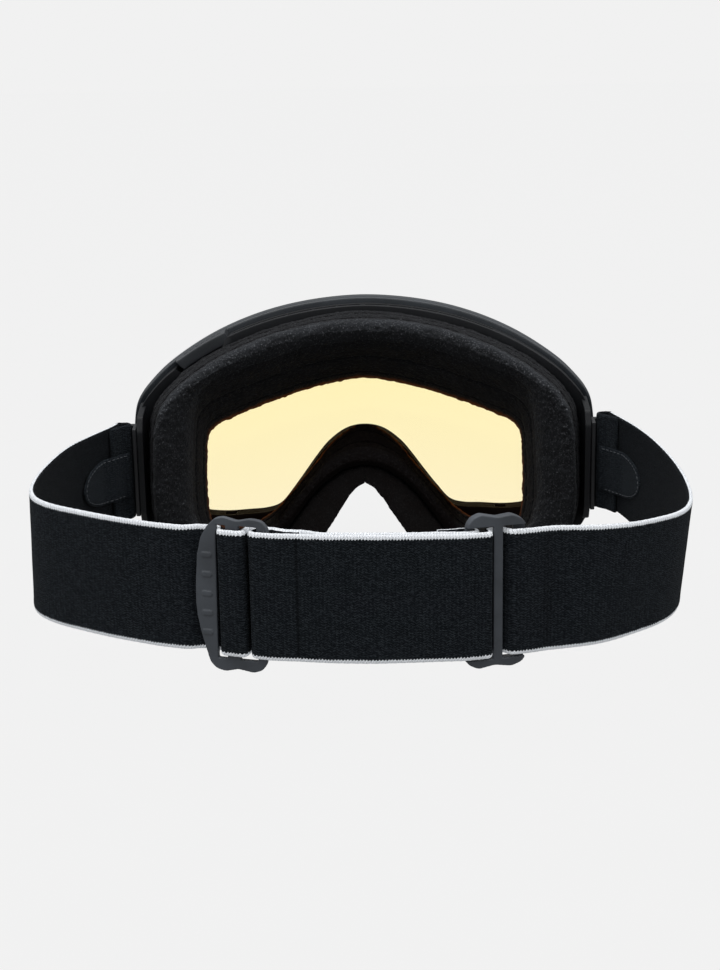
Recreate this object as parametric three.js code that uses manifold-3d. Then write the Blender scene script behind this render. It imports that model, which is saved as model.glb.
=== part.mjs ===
// Ski goggles: bent frame, magnet-held double lens in its own rim, layered face foam,
// pivoting strap clips and an elastic strap in two halves joined by two sliding adjusters.
// Millimetres: +X to the wearer's right, +Y from the back of the head to the lens, +Z up.
// At the end all is shifted so the bounding box is centred in X and Y and stands on Z = 0.
import * as THREE from 'three';
import { mergeVertices } from 'three/addons/utils/BufferGeometryUtils.js';
import Module from 'manifold-3d';

const wasm = await Module();
wasm.setup();

// ---------------------------------------------------------------- driving dimensions
const GAP = 0.3;               // clearance between neighbouring pieces
const FRONT_R = 118;           // plan radius of the lens, rim and frame
const FACE_R = 110;            // plan radius of the foam where it meets the face

// depth (y) range of each bent layer at x = 0, wearer's side first
const FLEECE = [170.6, 172.6];
const SOFT = [FLEECE[1] + GAP, 181.0];
const DENSE = [SOFT[1] + GAP, 189.4];
const BASE = [DENSE[1] + GAP, 195.7];
const FRAME = [BASE[1] + GAP, 204.0];
const RIM = [FRAME[1] + GAP, 212.0];
const RIM_FLANGE = [RIM[0], 206.9];
const INNER_LENS = [RIM_FLANGE[1] + GAP, 208.1];
const GASKET = [INNER_LENS[1] + GAP, 209.6];
const OUTER_LENS = [GASKET[1] + GAP, 211.5];
const NOSE_FOAM = [173.6, 192.5];
const VENT = [198.3, 201.7];
const VENT_FOAM = [VENT[0] + GAP, VENT[1] - GAP];

const REST_Z = -39.2;          // height of the flat rest faces under the cheeks
const WING_X = [82.4, 84.9];   // side wall of the frame
const PIVOT = [160.5, 0];      // y, z of the strap clip pivots
const PIVOT_R = 2.2;
const PIVOT_HOLE_R = 2.3;
const CLIP_X = [WING_X[1] + GAP, 87.0]; // pivot plate of the clip
const BAR = [90.3, 153.5];     // x, y of the clip's strap bar
const BAR_R = 1.2;
const ARM_X = [BAR[0] - BAR_R, BAR[0] + BAR_R];
const ARM_Z = [12.4, 14.4];    // upper arm that carries the bar; the lower one mirrors it
const STRAP_HALF_W = 20;
const STRAP_T = 1.7;
const STRAP_HALF_T = STRAP_T / 2;
const REAR_CURVE = 0.0036;     // plan curve of the strap's back run, y = REAR_CURVE * x^2
const LEFT_ADJUSTER_X = -38.2;
const RIGHT_ADJUSTER_X = 38.75;

// Half outlines, x and z, from top centre round the side to the nose; each list has the same
// number of points so that one can be blended into another.
const RIM_OUT = [[0, 57.5], [12.8, 56.9], [25.5, 55.4], [38, 52.9], [50.5, 49.1], [62.6, 43.9],
  [74.4, 36.9], [81, 31.2], [85.6, 25.5], [87.4, 18.5], [88, 6], [88, -10], [87, -21],
  [83.5, -28.5], [76, -34.5], [66, -38.4], [54, -40], [43, -40], [35.5, -38], [30, -33.5],
  [25.5, -27], [20.5, -19.5], [14.5, -12], [7.5, -6.3], [0, -4.2]];
const APERTURE = [[0, 31], [12.5, 29.5], [23, 27.3], [32, 25], [41, 22.3], [49.5, 19.5],
  [55.5, 17], [59.5, 14], [61.8, 10], [62.8, 5], [63.5, -2], [63.5, -9], [63.3, -16.5],
  [62.6, -22], [59.5, -25.2], [53, -26.2], [46.5, -26.5], [40, -26.7], [34.2, -25.2],
  [29.2, -19.5], [24.3, -13], [19.5, -6.5], [14.5, -0.6], [7.5, 4.4], [0, 5.9]];
const FOAM_OUT_DEEP = [[0, 53.5], [12.5, 52.6], [25.2, 50.4], [37, 47.8], [48.3, 44.2],
  [60, 39.5], [69, 33.8], [75.5, 28], [79.5, 22], [81, 14], [81.5, 4], [81.8, -9], [81, -19],
  [78, -26], [71.5, -31.3], [62.5, -34.8], [52.5, -36.6], [43.5, -36.8], [37, -34.4],
  [32, -30], [27, -23.6], [21.5, -16.4], [15, -10.2], [7.5, -5.6], [0, -4]];
const FOAM_OUT_FACE = [[0, 53.4], [12.5, 52.8], [24, 51.3], [35.4, 48.7], [45, 45.4],
  [55, 41.2], [64.4, 35.2], [70, 30.2], [73.8, 24.5], [75.7, 15], [76.3, 4], [76.8, -8.8],
  [76, -19], [72.5, -26.5], [66.5, -32], [58.5, -35.5], [50, -36.9], [43, -36.6],
  [37, -34.3], [32, -30], [27, -23.6], [21.5, -16.4], [15, -10.2], [7.5, -5.6], [0, -4]];
const FOAM_IN_DEEP = [[0, 25.9], [13.4, 23.9], [24, 21.5], [33, 18.9], [42, 16.2], [51, 13.2],
  [56.6, 11.2], [60, 8.2], [61, 3.5], [61.3, -2], [61.6, -8], [61.6, -14], [61.4, -20.5],
  [60.4, -27], [55.5, -30], [50.5, -30.9], [46, -30.6], [41, -28.4], [35.2, -24.7],
  [30.5, -19.6], [25.3, -14], [18.8, -6.5], [12.3, 1.6], [6, 6.2], [0, 7.8]];
const FOAM_IN_FACE = [[0, 45.4], [12, 44.8], [22, 43.2], [31.5, 41], [41.5, 37.9], [51, 35.4],
  [58.5, 32.4], [62.3, 28.6], [64.2, 24], [65, 14], [65.5, 3], [66, -9], [65, -18],
  [62, -24.5], [57, -28.5], [51.5, -30.6], [46, -31.2], [40.5, -30], [35.5, -26.5],
  [31, -21.5], [26.5, -16], [21, -9.5], [15, -3.5], [7.5, 0.6], [0, 2]];
// closed outline of the right nose foam, x and z
const NOSE_FLAP = [[0.35, -4.7], [7.3, -6.3], [14.5, -10.9], [21, -17.1], [26.4, -24.3],
  [31.4, -30.8], [36.3, -35.1], [36, -38.4], [30, -38.4], [23, -37.4], [18.4, -34],
  [12.6, -25.8], [7.4, -17.6], [3.6, -12.2], [0.35, -10.2]];

// ---------------------------------------------------------------- solids
const solid = (geometry) => {
  geometry.deleteAttribute('normal');
  geometry.deleteAttribute('uv');
  const merged = mergeVertices(geometry, 1e-5);
  return new wasm.Manifold(new wasm.Mesh({
    numProp: 3,
    vertProperties: new Float32Array(merged.attributes.position.array),
    triVerts: new Uint32Array(merged.index.array),
  }));
};
const geometryOf = (piece) => {
  const mesh = piece.getMesh();
  const geometry = new THREE.BufferGeometry();
  const positions = new Float32Array(mesh.vertProperties);
  geometry.setAttribute('position', new THREE.BufferAttribute(positions, 3));
  geometry.setIndex(new THREE.BufferAttribute(new Uint32Array(mesh.triVerts), 1));
  return geometry;
};
const union = (pieces) => pieces.reduce((a, b) => a.add(b));
const middle = ([low, high]) => (low + high) / 2;
const span = ([low, high]) => high - low;
// range on the right (side 1), or its mirror image on the left (side -1)
const onSide = (side, [low, high]) => (side > 0 ? [low, high] : [-high, -low]);
const box = (xs, ys, zs) => solid(new THREE.BoxGeometry(span(xs), span(ys), span(zs))
  .translate(middle(xs), middle(ys), middle(zs)));
// box through the whole depth of the goggle, used to pick out part of a layer
const column = (xs, zs) => box(xs, [0, 240], zs);
const extrude = (points, depth) => new THREE.ExtrudeGeometry(
  new THREE.Shape(points.map(([x, y]) => new THREE.Vector2(x, y))),
  { depth, bevelEnabled: false },
);
// prism along X from a y, z outline
const prismX = (yzPoints, xs) => {
  const turn = new THREE.Matrix4().makeBasis(
    new THREE.Vector3(0, 1, 0), new THREE.Vector3(0, 0, 1), new THREE.Vector3(1, 0, 0));
  return solid(extrude(yzPoints, span(xs)).applyMatrix4(turn).translate(xs[0], 0, 0));
};
// prism along Y from an x, z outline
const prismY = (xzPoints) => solid(extrude(xzPoints, 260)
  .rotateX(Math.PI / 2)
  .translate(0, 240, 0));
const pinX = (xs, [y, z], radius, segments = 32) => solid(
  new THREE.CylinderGeometry(radius, radius, span(xs), segments)
    .rotateZ(Math.PI / 2)
    .translate(middle(xs), y, z));

// ---------------------------------------------------------------- bent layers
// full closed outline from a half list, smoothed
const outline = (half) => {
  const right = half.map(([x, z]) => new THREE.Vector3(x, z, 0));
  const left = half.slice(1, -1).reverse().map(([x, z]) => new THREE.Vector3(-x, z, 0));
  const points = [...right, ...left];
  const curve = new THREE.CatmullRomCurve3(points, true, 'catmullrom', 0.5);
  const samples = points.length * 1.5;
  return curve.getPoints(samples).slice(0, samples).map(({ x, y }) => [x, y]);
};
const blend = (from, to, t) => from.map(([x, z], i) => [
  x + (to[i][0] - x) * t, z + (to[i][1] - z) * t]);
// outline from the rim's outer edge (0) to the aperture (1), or beyond either
const rimAt = (t) => outline(blend(RIM_OUT, APERTURE, t));

const radiusAt = (y) => {
  if (y >= FRAME[0]) return FRONT_R;
  return FACE_R + (FRONT_R - FACE_R) * (y - FLEECE[0]) / (FRAME[0] - FLEECE[0]);
};
// how far an arc falls back from its centre depth at x
const sag = (x, radius) => radius - Math.sqrt(radius * radius - x * x);
const SLAB_HALF_W = 93;
const SLAB_STEPS = 24;
// bent slab between two centre depths
const slab = ([back, front]) => {
  const arc = (y) => Array.from({ length: SLAB_STEPS + 1 }, (_, i) => {
    const x = -SLAB_HALF_W + 2 * SLAB_HALF_W * i / SLAB_STEPS;
    return [x, y - sag(x, radiusAt(y))];
  });
  return solid(extrude([...arc(back), ...arc(front).reverse()], 130).translate(0, 0, -60));
};
// bent slab cut to an outline, with an optional opening
const layer = (depths, outer, inner) => {
  const body = prismY(outer);
  return slab(depths).intersect(inner ? body.subtract(prismY(inner)) : body);
};
const aboveRest = box([-120, 120], [-20, 260], [REST_Z, 90]);

// ---------------------------------------------------------------- magnets
const MAGNET_R = 1.3;
const POCKET_R = MAGNET_R + 0.12;
// ranges along the normal of the bent face that each magnet is set in
const RIM_POCKET = [-3, 1.35];
const RIM_MAGNET = [0.05, 1.2];
const FRAME_POCKET = [-1.45, 3];
const FRAME_MAGNET = [-1.3, -0.05];
// half-outline point that each magnet pair sits by
const MAGNET_POINTS = { brow: 2, corner: 7, cheek: 16 };
const magnetLine = blend(RIM_OUT, APERTURE, 0.17);
const magnetSpots = Object.entries(MAGNET_POINTS).flatMap(([place, i]) => {
  const [x, z] = magnetLine[i];
  return [{ name: `${place}_right`, x, z }, { name: `${place}_left`, x: -x, z }];
});
// short cylinder along the normal of the bent face of centre depth faceY
const plug = ({ x, z }, faceY, reach, radius) => solid(
  new THREE.CylinderGeometry(radius, radius, span(reach), 16)
    .translate(0, middle(reach), 0)
    .rotateZ(-Math.asin(x / FRONT_R))
    .translate(x, faceY - sag(x, FRONT_R), z));
const withPockets = (piece, faceY, reach) => magnetSpots.reduce(
  (body, spot) => body.subtract(plug(spot, faceY, reach, POCKET_R)), piece);
const magnets = (prefix, faceY, reach) => magnetSpots.map((spot) => [
  `${prefix}_magnet_${spot.name}`, plug(spot, faceY, reach, MAGNET_R), 'magnet']);

// ---------------------------------------------------------------- frame
const BROW_Z = [5, 80];            // heights that take in the whole brow
const CHEEK_Z = [-60, -15];        // heights that take in the low vents
const TAB_X = [-70.5, -54.5];      // release tab on the wearer's left of the rim
const TAB_CLEARANCE = 0.6;
const BROW_SLOT_X = [-51.5, 51.5];
const CHEEK_SLOT_X = [60.5, 74.5];
const CHEEK_HOLE_X = [61.5, 66.5];
const BROW_HOLE = { pitch: 21, halfWidth: 6.5, z: [12, 80] };
const PIN_HEAD_R = 3.3;
const COUNTERBORE_R = 3.6;
const OUTSIDE = -0.12;             // rimAt value clear of the frame
// outline of the side wall, y and z
const WING = [[149.6, -15], [149.6, 16], [152.5, 21.5], [168, 24.6], [168, -23.2],
  [152.5, -20.5]];

// inset from the rim, less so under the cheeks, and held in at the sides
const frameOutline = () => {
  const underCheek = blend(RIM_OUT, APERTURE, 0.015);
  return outline(blend(RIM_OUT, APERTURE, 0.085).map(([x, z], i) => (
    i >= 14 && i <= 18 ? underCheek[i] : [Math.min(x, 84.85 - 0.004 * (i - 10.4) ** 2), z])));
};

// shallow slots along the brow and low on each cheek, with deeper holes through to the inside
const cutVents = (body) => {
  const slot = layer(VENT, rimAt(OUTSIDE), rimAt(0.42));
  const hole = layer(VENT, rimAt(OUTSIDE), rimAt(1.12));
  let frame = body.subtract(slot.intersect(column(BROW_SLOT_X, BROW_Z)));
  for (let i = -2; i <= 2; i += 1) {
    const x = i * BROW_HOLE.pitch;
    const xs = [x - BROW_HOLE.halfWidth, x + BROW_HOLE.halfWidth];
    frame = frame.subtract(hole.intersect(column(xs, BROW_HOLE.z)));
  }
  for (const side of [-1, 1]) {
    frame = frame
      .subtract(slot.intersect(column(onSide(side, CHEEK_SLOT_X), CHEEK_Z)))
      .subtract(hole.intersect(column(onSide(side, CHEEK_HOLE_X), CHEEK_Z)));
  }
  return frame;
};

const makeFrame = () => {
  let frame = layer(FRAME, frameOutline(), outline(APERTURE));
  const behindRim = slab([140, FRAME[1]]);
  // side walls that carry the strap clips, each with a pivot hole counterbored from inside
  for (const side of [-1, 1]) {
    frame = frame
      .add(prismX(WING, onSide(side, WING_X)).intersect(behindRim))
      .subtract(pinX(onSide(side, [80, 90]), PIVOT, PIVOT_HOLE_R))
      .subtract(pinX(onSide(side, [81.5, 83.35]), PIVOT, COUNTERBORE_R));
  }
  frame = cutVents(frame);
  // notch that the release tab sits in
  const notchX = [TAB_X[0] - TAB_CLEARANCE, TAB_X[1] + TAB_CLEARANCE];
  frame = frame.subtract(layer([195, 205], rimAt(OUTSIDE), rimAt(0.15))
    .intersect(column(notchX, BROW_Z)));
  return withPockets(frame.intersect(aboveRest), FRAME[1], FRAME_POCKET);
};

// ---------------------------------------------------------------- rim and lenses
const LENS_EDGE = 0.092;           // rimAt value of the lens and gasket edge

const makeRim = () => {
  const wall = layer(RIM, rimAt(0), rimAt(0.075));
  const flange = layer(RIM_FLANGE, rimAt(0), rimAt(0.26));
  const tab = layer([197.4, 205.0], rimAt(0), rimAt(0.13)).intersect(column(TAB_X, BROW_Z));
  const rim = union([wall, flange, tab]).intersect(aboveRest);
  return withPockets(rim, RIM[0], RIM_POCKET);
};
const makeLens = (depths) => layer(depths, rimAt(LENS_EDGE)).intersect(aboveRest);
const makeGasket = () => layer(GASKET, rimAt(LENS_EDGE), rimAt(0.2)).intersect(aboveRest);

// ---------------------------------------------------------------- foam
// blends run from the face outlines (0) to the deep ones (1)
const makeFoam = (depths, outerBlend, innerBlend) => layer(depths,
  outline(blend(FOAM_OUT_FACE, FOAM_OUT_DEEP, outerBlend)),
  outline(blend(FOAM_IN_FACE, FOAM_IN_DEEP, innerBlend)));
const makeNoseFoam = (side) => layer(NOSE_FOAM, NOSE_FLAP.map(([x, z]) => [side * x, z]));
const makeVentFoam = (xs, zs) => layer(VENT_FOAM, rimAt(0.13), rimAt(0.4))
  .intersect(column(xs, zs));
const makeCheekVentFoam = (side) => makeVentFoam(onSide(side, [60.9, 74.1]), CHEEK_Z);

// ---------------------------------------------------------------- strap paths
// Plan paths run in x, y; a point may carry a third value, the fillet radius of its corner.
// frame on the outer face of the back run: tangent towards +X, normal towards the head
const station = (x) => {
  const slope = 2 * REAR_CURVE * x;
  const length = Math.hypot(1, slope);
  return {
    origin: [x, REAR_CURVE * x * x],
    tangent: [1 / length, slope / length],
    normal: [-slope / length, 1 / length],
  };
};
const leftStation = station(LEFT_ADJUSTER_X);
const rightStation = station(RIGHT_ADJUSTER_X);
const pointAt = ({ origin, tangent, normal }, along, inward, radius) => [
  origin[0] + along * tangent[0] + inward * normal[0],
  origin[1] + along * tangent[1] + inward * normal[1],
  radius,
];
const back = (x, inward, radius) => pointAt(station(x), 0, inward, radius);
const atLeft = (along, inward, radius) => pointAt(leftStation, along, inward, radius);
const atRight = (along, inward, radius) => pointAt(rightStation, along, inward, radius);

// unit direction and distance between two points
const heading = ([x0, y0], [x1, y1]) => {
  const length = Math.hypot(x1 - x0, y1 - y0) || 1;
  return { x: (x1 - x0) / length, y: (y1 - y0) / length, length };
};
const MIN_TURN = 0.03;             // corners gentler than this stay sharp, radians
const FILLET_STEP = 0.33;          // largest arc step, radians

// points of the fillet at a corner between two neighbours
const fillet = (before, [x, y, wantedRadius = 0], after) => {
  const toBefore = heading([x, y], before);
  const toAfter = heading([x, y], after);
  const cosine = toBefore.x * toAfter.x + toBefore.y * toAfter.y;
  const between = Math.acos(Math.max(-1, Math.min(1, cosine)));
  const turn = Math.PI - between;
  if (wantedRadius === 0 || turn < MIN_TURN) return [[x, y]];
  const trim = Math.min(wantedRadius * Math.tan(turn / 2),
    0.499 * Math.min(toBefore.length, toAfter.length));
  const radius = trim / Math.tan(turn / 2);
  const bisector = heading([0, 0], [toBefore.x + toAfter.x, toBefore.y + toAfter.y]);
  const reach = radius / Math.sin(between / 2);
  const centreX = x + bisector.x * reach;
  const centreY = y + bisector.y * reach;
  const angleTo = (leg) => Math.atan2(y + leg.y * trim - centreY, x + leg.x * trim - centreX);
  const start = angleTo(toBefore);
  let sweep = angleTo(toAfter) - start;
  if (sweep > Math.PI) sweep -= 2 * Math.PI;
  if (sweep < -Math.PI) sweep += 2 * Math.PI;
  const steps = Math.max(1, Math.ceil(Math.abs(sweep) / FILLET_STEP));
  return Array.from({ length: steps + 1 }, (_, i) => {
    const angle = start + sweep * i / steps;
    return [centreX + radius * Math.cos(angle), centreY + radius * Math.sin(angle)];
  });
};
// polyline with filleted corners and no repeated points
const rounded = (points) => {
  const last = points.length - 1;
  const path = points.flatMap((point, i) => (
    i === 0 || i === last ? [point.slice(0, 2)] : fillet(points[i - 1], point, points[i + 1])));
  return path.filter(([x, y], i) => (
    i === 0 || Math.hypot(x - path[i - 1][0], y - path[i - 1][1]) > 1e-3));
};
// path moved to its left by a distance, with mitred corners
const offset = (path, distance) => path.map((point, i) => {
  const before = heading(path[Math.max(0, i - 1)], point);
  const after = heading(point, path[Math.min(path.length - 1, i + 1)]);
  const normal = heading([0, 0], [-before.y - after.y, before.x + after.x]);
  const leg = i === 0 ? after : before;
  const mitre = Math.max(0.5, Math.abs(-leg.y * normal.x + leg.x * normal.y));
  return [point[0] + normal.x * distance / mitre, point[1] + normal.y * distance / mitre];
});
const ribbon = (path, thickness, halfWidth) => solid(extrude(
  [...offset(path, thickness / 2), ...offset(path, -thickness / 2).reverse()],
  2 * halfWidth,
).translate(0, 0, -halfWidth));

// ---------------------------------------------------------------- strap
// centre line from the back run forward to the clip, right side
const SIDE_PATH = [[79, 21.6], [87, 26.6], [94.5, 32.4], [100, 39.2], [103.2, 47.4],
  [105.2, 59.5], [105.9, 74.5], [105.6, 91.5], [104.3, 105.8], [102.3, 119.2], [99.4, 131.5],
  [96.6, 142], [94, 149.8], [92.65, 154]];
// round the clip's bar and a short way back inside
const BAR_WRAP = BAR_R + GAP + STRAP_HALF_T;
const CLIP_END = [
  [BAR[0] + BAR_WRAP, BAR[1] + BAR_WRAP, 2.35], [BAR[0] - BAR_WRAP, BAR[1] + BAR_WRAP, 2.35],
  [87.95, 152.0, 3], [91.0, 149.2, 4], [94.2, 143.4]];
const CORNER = 1.25;               // fillet radius where the strap threads an adjuster

const leftPath = () => rounded([
  ...[...SIDE_PATH, ...CLIP_END].map(([x, y, radius]) => [-x, y, radius]).reverse(),
  // inside the left adjuster's left bar, outside its centre bar, then in through its right slot
  back(-66, STRAP_HALF_T, 20), atLeft(-15.5, 2.4, 6), atLeft(-12.2, 4.75, 5),
  atLeft(-3.57, 4.75, CORNER), atLeft(-1.83, 0.65, CORNER),
  atLeft(2.98, 0.65, CORNER), atLeft(2.98, 6.75, CORNER),
  // along the inside of the right half
  atLeft(11, 6.75, 5), back(-23.5, 4.9, 5), back(-17.5, 4.9, 5),
  back(-12.5, 2.9, 5), back(0, 2.9, 40), back(14, 2.9, 40), back(23, 2.9, 8),
  // looped round the right adjuster's left bar and sewn back
  atRight(-9.8, 2.0, 8), atRight(-4.8, 2.0, 1.85), atRight(-4.8, 5.7, 1.85),
  atRight(-9.2, 5.7, 5), back(26.3, 4.9, 5), back(22.6, 4.9),
]);
const rightPath = () => rounded([
  // sewn end and loop round the left adjuster's right bar
  back(-18.5, 2.9), back(-23, 2.9, 4), atLeft(11.4, 4.75, 4),
  atLeft(5.41, 4.75, 2.05), atLeft(5.41, 0.65, 2.05), atLeft(11.5, 0.65, 10),
  // along the outside of the left half
  back(-20, STRAP_HALF_T, 30), back(-9, STRAP_HALF_T, 40),
  back(4, STRAP_HALF_T, 40), back(17, STRAP_HALF_T, 30),
  // outside the right adjuster's outer bars and inside its centre bar
  atRight(-9.6, 0.05, 10), atRight(-2.52, 0.05, CORNER), atRight(-2.52, 4.05, CORNER),
  atRight(2.3, 4.05, CORNER), atRight(4.35, 1.15, CORNER), atRight(9.6, 1.1, 10),
  back(56, STRAP_HALF_T, 20), back(66, STRAP_HALF_T, 20), ...SIDE_PATH, ...CLIP_END,
]);

// strap half with slits in the front of its fold, where the clip's two arms reach the bar
const makeStrap = (path, side) => {
  const slitX = onSide(side, [ARM_X[0] - GAP, ARM_X[1] + GAP]);
  const slitZ = [ARM_Z[0] - GAP, ARM_Z[1] + GAP];
  return [1, -1].reduce(
    (strap, end) => strap.subtract(box(slitX, [153.9, 158], onSide(end, slitZ))),
    ribbon(path, STRAP_T, STRAP_HALF_W));
};

// round-ended tab sewn to the inside of the strap by the clip
const SEWN_TAB_T = 1.0;
const SEWN_TAB_HALF_W = 12;
const SEWN_TAB_RUN = [[101.2, 124], [99.4, 131.5], [97.2, 139.8]];  // strap line, x and y
const SEWN_TAB_FRONT = [[92.6, 142.6], [89.5, 148.2], [87.1, 150.3]];
// side outline, y and z
const SEWN_TAB_OUTLINE = [[160, 2.6], [142, 2.0], [136, 1.0], [132, -0.2], [130.4, -1.8],
  [129.8, -3.4], [130.4, -5.2], [132, -7.2], [136, -9], [142, -10], [160, -10.4]];
const makeSewnTab = (side) => {
  const inset = STRAP_HALF_T + GAP + SEWN_TAB_T / 2;
  const path = [...offset(SEWN_TAB_RUN, inset), ...SEWN_TAB_FRONT];
  const tab = ribbon(path, SEWN_TAB_T, SEWN_TAB_HALF_W)
    .intersect(prismX(SEWN_TAB_OUTLINE, [60, 120]));
  return side > 0 ? tab : tab.mirror([1, 0, 0]);
};

// ---------------------------------------------------------------- clips
const makeClip = (side) => {
  const across = (xs) => onSide(side, xs);
  const [blockBack, blockFront] = [157.0, 160.2];
  const armY = [BAR[1], blockFront];
  return union([
    // pivot plate, cut off straight at the back
    pinX(across(CLIP_X), PIVOT, 5, 36).intersect(box(across([80, 95]), [blockBack, 170], [-10, 10])),
    // pivot pin and its head
    pinX(across([83.2, CLIP_X[0] + 0.5]), PIVOT, PIVOT_R),
    pinX(across([82.6, 83.22]), PIVOT, PIN_HEAD_R),
    // cross block, two arms and the strap bar
    box(across([CLIP_X[0], ARM_X[1]]), [blockBack, blockFront], [-ARM_Z[1], ARM_Z[1]]),
    box(across(ARM_X), armY, ARM_Z),
    box(across(ARM_X), armY, onSide(-1, ARM_Z)),
    solid(new THREE.CylinderGeometry(BAR_R, BAR_R, 27, 20)
      .rotateX(Math.PI / 2)
      .translate(side * BAR[0], BAR[1], 0)),
  ]);
};

// ---------------------------------------------------------------- adjusters
const SLOT_HALF_H = 20.4;
// outlines along the strap and in z
const LEFT_ADJUSTER = [[-3.9, 23.3], [-5.6, 21.8], [-7.4, 19.4], [-9.1, 14.4], [-10.4, 7.5],
  [-10.8, 0.6], [-10.4, -6.5], [-9.4, -12], [-8, -16.6], [-5.9, -20.9], [-4.4, -22.6],
  [-2.4, -23.3], [1.8, -22.4], [6.3, -23.4], [9, -22.5], [10.4, -20.6], [10.6, -18.4],
  [9.6, -17], [9.6, 17], [10.6, 18.4], [10.3, 20.8], [8.8, 22.6], [6.4, 23.3], [0.8, 22.2]];
const RIGHT_ADJUSTER = [[-8.4, 16.6], [-9.1, 18.2], [-8.2, 20.6], [-5.7, 22.7], [-0.3, 21.8],
  [4.2, 22.8], [6.9, 21.6], [9, 18.8], [8.4, 16.6], [7.8, 15], [7.8, -15], [8.4, -16.6],
  [8.9, -18.6], [7.4, -21.3], [4, -22.8], [-0.6, -21.9], [-5.4, -22.9], [-8.3, -21],
  [-9, -18.4], [-8.4, -16.6]];

// plate on a station; the inward range is its distance from the strap's outer face
const plate = ({ origin, tangent, normal }, points, inward) => {
  const turn = new THREE.Matrix4().makeBasis(new THREE.Vector3(...tangent, 0),
    new THREE.Vector3(0, 0, 1), new THREE.Vector3(-normal[0], -normal[1], 0));
  return solid(extrude(points, span(inward))
    .applyMatrix4(turn)
    .translate(origin[0] + inward[1] * normal[0], origin[1] + inward[1] * normal[1], 0));
};
const rect = (u0, u1, z0, z1) => [[u0, z0], [u1, z0], [u1, z1], [u0, z1]];
// plate less cuts of slot height; each cut is its start and end along the strap and its
// inward range
const cutPlate = (seat, points, inward, cuts) => cuts.reduce(
  (body, [start, end, depths]) => body.subtract(
    plate(seat, rect(start, end, -SLOT_HALF_H, SLOT_HALF_H), depths)),
  plate(seat, points, inward));

const makeLeftAdjuster = () => {
  const through = [0.8, 4.6];
  let adjuster = cutPlate(leftStation, LEFT_ADJUSTER, [1.8, 3.6],
    [[-4.5, -0.9, through], [1.3, 6.95, through]]);
  // five short ribs on the outer face of the left bar
  for (const z of [-12, -6, 0, 6, 12]) {
    const rib = rect(-8.6, -5.6, z - 0.7, z + 0.7);
    adjuster = adjuster.add(plate(leftStation, rib, [1.4, 2.0]));
  }
  return adjuster;
};
// outer bars thinned from outside and the centre bar from inside
const makeRightAdjuster = () => {
  const through = [0.4, 5.6];
  return cutPlate(rightStation, RIGHT_ADJUSTER, [1.4, 4.6], [
    [-6.2, -1.1, through], [1.5, 5.2, through],
    [-14, -1.7, [0, 3.1]], [2.1, 14, [0, 3.1]], [-1.7, 2.1, [2.9, 6]],
  ]);
};

// ---------------------------------------------------------------- assembly
const MATERIALS = {
  frame: { color: 0x141517, roughness: 0.62 },
  rim: { color: 0x101113, roughness: 0.5 },
  lens: { color: 0xf0d98a, roughness: 0.08, transparent: true, opacity: 0.5 },
  innerLens: { color: 0xf6edb8, roughness: 0.08, transparent: true },
  gasket: { color: 0x2a1c10, roughness: 0.7 },
  magnet: { color: 0xa8abb0, roughness: 0.3, metalness: 1 },
  foam: { color: 0x1d1e21, roughness: 0.95 },
  fleece: { color: 0x2b2d31, roughness: 1 },
  vent: { color: 0x26272a, roughness: 1 },
  clip: { color: 0x18191b, roughness: 0.5 },
  strap: { color: 0x101418, roughness: 0.9 },
  sewnTab: { color: 0x14181c, roughness: 0.9 },
  adjuster: { color: 0x3c3f42, roughness: 0.55 },
};
// name, solid and material of every piece, by group
const PIECES = {
  goggle: [
    ['frame', makeFrame(), 'frame'],
    ['base_foam', makeFoam(BASE, 1, 1), 'foam'],
    ['dense_foam', makeFoam(DENSE, 0.66, 0.68), 'foam'],
    ['soft_foam', makeFoam(SOFT, 0.3, 0.3), 'foam'],
    ['face_fleece', makeFoam(FLEECE, 0, 0), 'fleece'],
    ['left_nose_foam', makeNoseFoam(-1), 'foam'],
    ['right_nose_foam', makeNoseFoam(1), 'foam'],
    ['brow_vent_foam', makeVentFoam([-51, 51], BROW_Z), 'vent'],
    ['left_cheek_vent_foam', makeCheekVentFoam(-1), 'vent'],
    ['right_cheek_vent_foam', makeCheekVentFoam(1), 'vent'],
    ...magnets('frame', FRAME[1], FRAME_MAGNET),
  ],
  lens: [
    ['lens_rim', makeRim(), 'rim'],
    ['inner_lens', makeLens(INNER_LENS), 'innerLens'],
    ['lens_gasket', makeGasket(), 'gasket'],
    ['outer_lens', makeLens(OUTER_LENS), 'lens'],
    ...magnets('rim', RIM[0], RIM_MAGNET),
  ],
  strap: [
    ['left_strap_clip', makeClip(-1), 'clip'],
    ['right_strap_clip', makeClip(1), 'clip'],
    ['left_strap', makeStrap(leftPath(), -1), 'strap'],
    ['right_strap', makeStrap(rightPath(), 1), 'strap'],
    ['left_strap_tab', makeSewnTab(-1), 'sewnTab'],
    ['right_strap_tab', makeSewnTab(1), 'sewnTab'],
    ['left_adjuster', makeLeftAdjuster(), 'adjuster'],
    ['right_adjuster', makeRightAdjuster(), 'adjuster'],
  ],
};

const group = new THREE.Group();
group.name = 'ski_goggles';
const geometries = [];
const bounds = new THREE.Box3();
for (const [groupName, pieces] of Object.entries(PIECES)) {
  const subgroup = new THREE.Group();
  subgroup.name = `${groupName}_group`;
  group.add(subgroup);
  for (const [name, piece, material] of pieces) {
    const geometry = geometryOf(piece);
    const mesh = new THREE.Mesh(geometry,
      new THREE.MeshStandardMaterial({ ...MATERIALS[material], flatShading: true }));
    mesh.name = name;
    subgroup.add(mesh);
    geometry.computeBoundingBox();
    bounds.union(geometry.boundingBox);
    geometries.push(geometry);
  }
}
const centre = bounds.getCenter(new THREE.Vector3());
for (const geometry of geometries) {
  geometry.translate(-centre.x, -centre.y, -bounds.min.z);
  geometry.computeVertexNormals();
}
export default group;
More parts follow.
